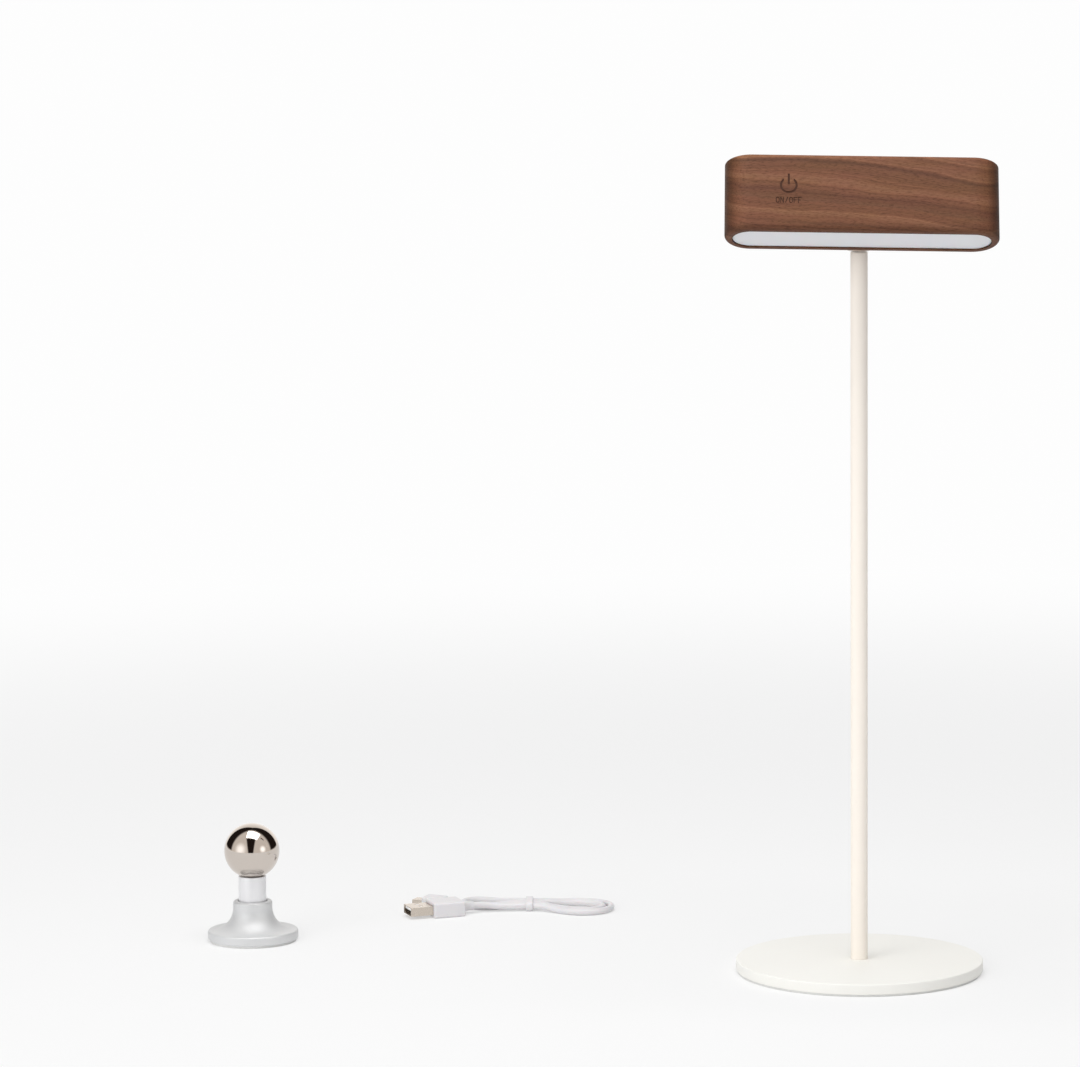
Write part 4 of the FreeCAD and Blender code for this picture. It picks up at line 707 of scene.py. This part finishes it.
class LAMP_OT_stage(bpy.types.Operator):
    """Sets up the pale floor and backdrop, the soft lamps and the camera"""
    bl_idname = "lamp.stage"
    bl_label = "Studio"

    def execute(self, context):
        studio = context.scene.studio
        seamless_floor()
        for name, place, target, panel, mirrored in SOFT_BOXES:
            self.lamp(name, place, target, panel, getattr(studio, name + "_power"), mirrored)
        room(studio.room_light)
        self.camera(studio.focal_length)
        context.scene.view_settings.view_transform = "Standard"
        return {"FINISHED"}

    def lamp(self, name, place, target, panel, power, mirrored):
        """A soft box. The tent stands for its mirror image where it isn't mirrored itself."""
        data = bpy.data.lights.new(name, "AREA")
        data.shape = "RECTANGLE"
        data.size, data.size_y = panel
        data.energy = power
        light = bpy.data.objects.new(name, data)
        light.location = place
        light.visible_glossy = mirrored
        light.rotation_euler = (Vector(target) - Vector(place)).to_track_quat("-Z", "Y").to_euler()
        bpy.context.scene.collection.objects.link(light)

    def camera(self, focal_length):
        """Camera at the photograph's angle: 6.3 degrees down from the front, 3.6 degrees to the left and 2 m
        away."""
        yaw, pitch, roll = (math.radians(angle) for angle in CAMERA_TURN)
        ahead = Vector((math.sin(yaw) * math.cos(pitch), math.cos(yaw) * math.cos(pitch), -math.sin(pitch)))
        level = Vector((math.cos(yaw), -math.sin(yaw), 0))
        upright = level.cross(ahead)
        right = level * math.cos(roll) + upright * math.sin(roll)
        up = upright * math.cos(roll) - level * math.sin(roll)
        data = bpy.data.cameras.new("camera")
        data.lens = focal_length
        data.sensor_width = 36
        data.sensor_fit = "HORIZONTAL"
        data.clip_end = 30
        camera = bpy.data.objects.new("camera", data)
        turn = Matrix((right, up, -ahead)).transposed().to_4x4()
        camera.matrix_world = Matrix.Translation(CAMERA_PLACE) @ turn
        bpy.context.scene.collection.objects.link(camera)
        bpy.context.scene.camera = camera


def seamless_floor():
    """A round sheet of pale paper, flat at the table's height: x = r cos a, y = r sin a and z = 0, with r up
    to 30 m."""
    material, shader = begin("seamless_paper", {"Base Color": linear("#EEEEEE"), "Roughness": 0.95,
                                                "Specular IOR Level": 0.0})
    coords = add(material, "TexCoord").outputs["Object"]
    fibre = add(material, "TexNoise", {"Vector": coords, "Scale": 900.0, "Detail": 2.0})
    tone = add(material, "ValToRGB", {"Fac": fibre.outputs[0]}, stops=((0.2, linear("#ECECEC")),
                                                                       (0.8, linear("#F0F0F0"))))
    link(material, tone.outputs[0], shader.inputs["Base Color"])
    # What the camera and shiny pieces see fades to white with distance, so that the sheet has no far edge
    path = add(material, "LightPath")
    seen = path.outputs["Is Camera Ray"]
    for ray in ("Is Glossy Ray", "Is Transmission Ray"):
        seen = add(material, "Math", {0: seen, 1: path.outputs[ray]}, operation="MAXIMUM").outputs[0]
    away = add(material, "VectorMath", {0: coords}, operation="LENGTH").outputs["Value"]
    fade = add(material, "MapRange", {"Value": away, "From Min": 0.3, "From Max": 1.6, "To Min": 0.45,
                                      "To Max": 1.0}, interpolation_type="SMOOTHSTEP").outputs[0]
    share = add(material, "Math", {0: seen, 1: fade}, operation="MULTIPLY").outputs[0]
    white = add(material, "Emission", {"Color": (1, 1, 1, 1), "Strength": SEEN_WHITE})
    both = add(material, "MixShader", {0: share, 1: shader.outputs[0], 2: white.outputs[0]})
    link(material, both.outputs[0], material.node_tree.nodes["Material Output"].inputs["Surface"])
    reach = np.array((0.0, 0.5, 1.5, 5.0, 30.0))[:, None]
    spokes = 64
    angle = np.linspace(0, 2 * math.pi, spokes, endpoint=False)[None, :]
    points = np.stack(np.broadcast_arrays(reach * np.cos(angle), reach * np.sin(angle), 0.0), axis=-1)
    mesh = bpy.data.meshes.new("paper_sheet")
    mesh.from_pydata(points.reshape(-1, 3).tolist(), [],
                     grid_faces(len(reach), spokes, wrap_columns=True).tolist())
    merge(mesh)
    mesh.materials.append(material)
    sheet = bpy.data.objects.new("paper_sheet", mesh)
    bpy.context.scene.collection.objects.link(sheet)


# The tent that shiny pieces mirror, by direction: X to the right, Y away from the camera and Z up. Each cloth
# that glows has its direction, its reach and its strength; the left one is broader.

GLOWING_CLOTHS = (((-0.70, -0.68, 0.20), 0.55, 1.7), ((0.78, -0.60, 0.20), 0.3, 1.9))
CLOTH_BEHIND = (1.2, 1.17, 1.14, 1)
LIGHT_LEAN = 0.6
LIGHT_REACH = 1.17
LIGHT_FRONT = 1.38
LIGHT_BACK = 0.62


def room(strength):
    """Soft light from all sides, stronger from the front left. The camera sees white, and shiny pieces see a
    pale tent: two glowing cloths, a dark seam overhead and behind them, and a dark gap where the camera
    stands."""
    world = bpy.data.worlds.new("room")
    bpy.context.scene.world = world
    world.use_nodes = True
    background = world.node_tree.nodes["Background"]
    toward = add(world, "TexCoord").outputs["Generated"]
    way = add(world, "SeparateXYZ", {0: toward})
    aside = add(world, "Math", {0: way.outputs["X"]}, operation="ABSOLUTE").outputs[0]
    # The seam widens down to both sides, and the gap is wider at its top
    leaning = [add(world, "Math", {0: value, 1: lean, 2: base}, operation="MULTIPLY_ADD").outputs[0]
               for value, lean, base in ((aside, 0.25, way.outputs["Y"]), (aside, -0.35, way.outputs["Y"]),
                                         (way.outputs["Z"], -0.13, aside))]
    # The seam's near edge is soft and its far edge sharp
    near, far, taper = leaning
    enter, leave, above, front, narrow, behind = [
        add(world, "MapRange", {"Value": value, "From Min": start, "From Max": full},
            interpolation_type=easing).outputs[0]
        for value, start, full, easing in (
            (near, 0.14, 0.34, "SMOOTHSTEP"), (far, 0.55, 0.5, "LINEAR"),
            (way.outputs["Z"], 0.0, 0.06, "LINEAR"), (way.outputs["Y"], -0.38, -0.44, "LINEAR"),
            (taper, 0.22, 0.15, "LINEAR"), (way.outputs["Y"], 0.5, 0.95, "LINEAR"))]
    seam = add(world, "Math", {0: enter, 1: leave}, operation="MULTIPLY").outputs[0]
    seam = add(world, "Math", {0: seam, 1: above}, operation="MULTIPLY").outputs[0]
    gap = add(world, "Math", {0: front, 1: narrow}, operation="MULTIPLY").outputs[0]
    dark = add(world, "Math", {0: seam, 1: gap}, operation="MAXIMUM").outputs[0]
    cloth = add(world, "Mix", {0: behind, 6: linear("#EBE5DF"), 7: CLOTH_BEHIND}, data_type="RGBA").outputs[2]
    for place, reach, glow in GLOWING_CLOTHS:
        away = add(world, "VectorMath", {0: toward, 1: place}, operation="DISTANCE").outputs["Value"]
        lit = add(world, "MapRange", {"Value": away, "From Min": reach, "From Max": 0.05},
                  interpolation_type="SMOOTHSTEP").outputs[0]
        cloth = add(world, "Mix", {0: lit, 6: cloth, 7: (glow, glow, glow, 1)}, data_type="RGBA").outputs[2]
    tent = add(world, "Mix", {0: dark, 6: cloth, 7: linear("#241D1A")}, data_type="RGBA").outputs[2]
    turned_away = add(world, "Math", {0: way.outputs["X"], 1: LIGHT_LEAN, 2: way.outputs["Y"]},
                      operation="MULTIPLY_ADD").outputs[0]
    soft = add(world, "MapRange", {"Value": turned_away, "From Min": -LIGHT_REACH, "From Max": LIGHT_REACH,
                                   "To Min": LIGHT_FRONT * strength,
                                   "To Max": LIGHT_BACK * strength}).outputs[0]
    path = add(world, "LightPath")
    even = add(world, "Mix", {0: path.outputs["Is Glossy Ray"], 6: soft, 7: tent},
               data_type="RGBA").outputs[2]
    seen = add(world, "Math", {0: path.outputs["Is Camera Ray"], 1: path.outputs["Is Transmission Ray"]},
               operation="MAXIMUM").outputs[0]
    final = add(world, "Mix", {0: seen, 6: even, 7: (SEEN_WHITE, SEEN_WHITE, SEEN_WHITE, 1)},
                data_type="RGBA").outputs[2]
    link(world, final, background.inputs["Color"])
    background.inputs["Strength"].default_value = 1.0


class LAMP_PT_panel(bpy.types.Panel):
    """Sizes, finishes and studio of the lamp"""
    bl_idname = "LAMP_PT_panel"
    bl_label = "Magnetic balance lamp"
    bl_space_type = "VIEW_3D"
    bl_region_type = "UI"
    bl_category = "Lamp"

    def draw(self, context):
        scene = context.scene
        for title, group in (("Sizes", scene.lamp_sizes), ("Finishes", scene.lamp_finish),
                             ("Studio", scene.studio)):
            box = self.layout.box()
            box.label(text=title)
            for name in group.__annotations__:
                box.prop(group, name)
        for operator in OPERATORS:
            self.layout.operator(operator.bl_idname)


OPERATORS = (LAMP_OT_stage, LAMP_OT_inner_parts, LAMP_OT_cable, LAMP_OT_stand, LAMP_OT_mount, LAMP_OT_head)
CLASSES = (LampSizes, LampFinish, StudioSettings, *OPERATORS, LAMP_PT_panel)


def register():
    for item in CLASSES:
        bpy.utils.register_class(item)
    bpy.types.Scene.lamp_sizes = PointerProperty(type=LampSizes)
    bpy.types.Scene.lamp_finish = PointerProperty(type=LampFinish)
    bpy.types.Scene.studio = PointerProperty(type=StudioSettings)


def unregister():
    del bpy.types.Scene.studio
    del bpy.types.Scene.lamp_finish
    del bpy.types.Scene.lamp_sizes
    for item in reversed(CLASSES):
        bpy.utils.unregister_class(item)


def main():
    register()
    bpy.ops.lamp.stage()
    bpy.ops.lamp.inner_parts()
    bpy.ops.lamp.cable()
    bpy.ops.lamp.stand()
    bpy.ops.lamp.mount()
    bpy.ops.lamp.head()


if __name__ == "__main__":
    main()
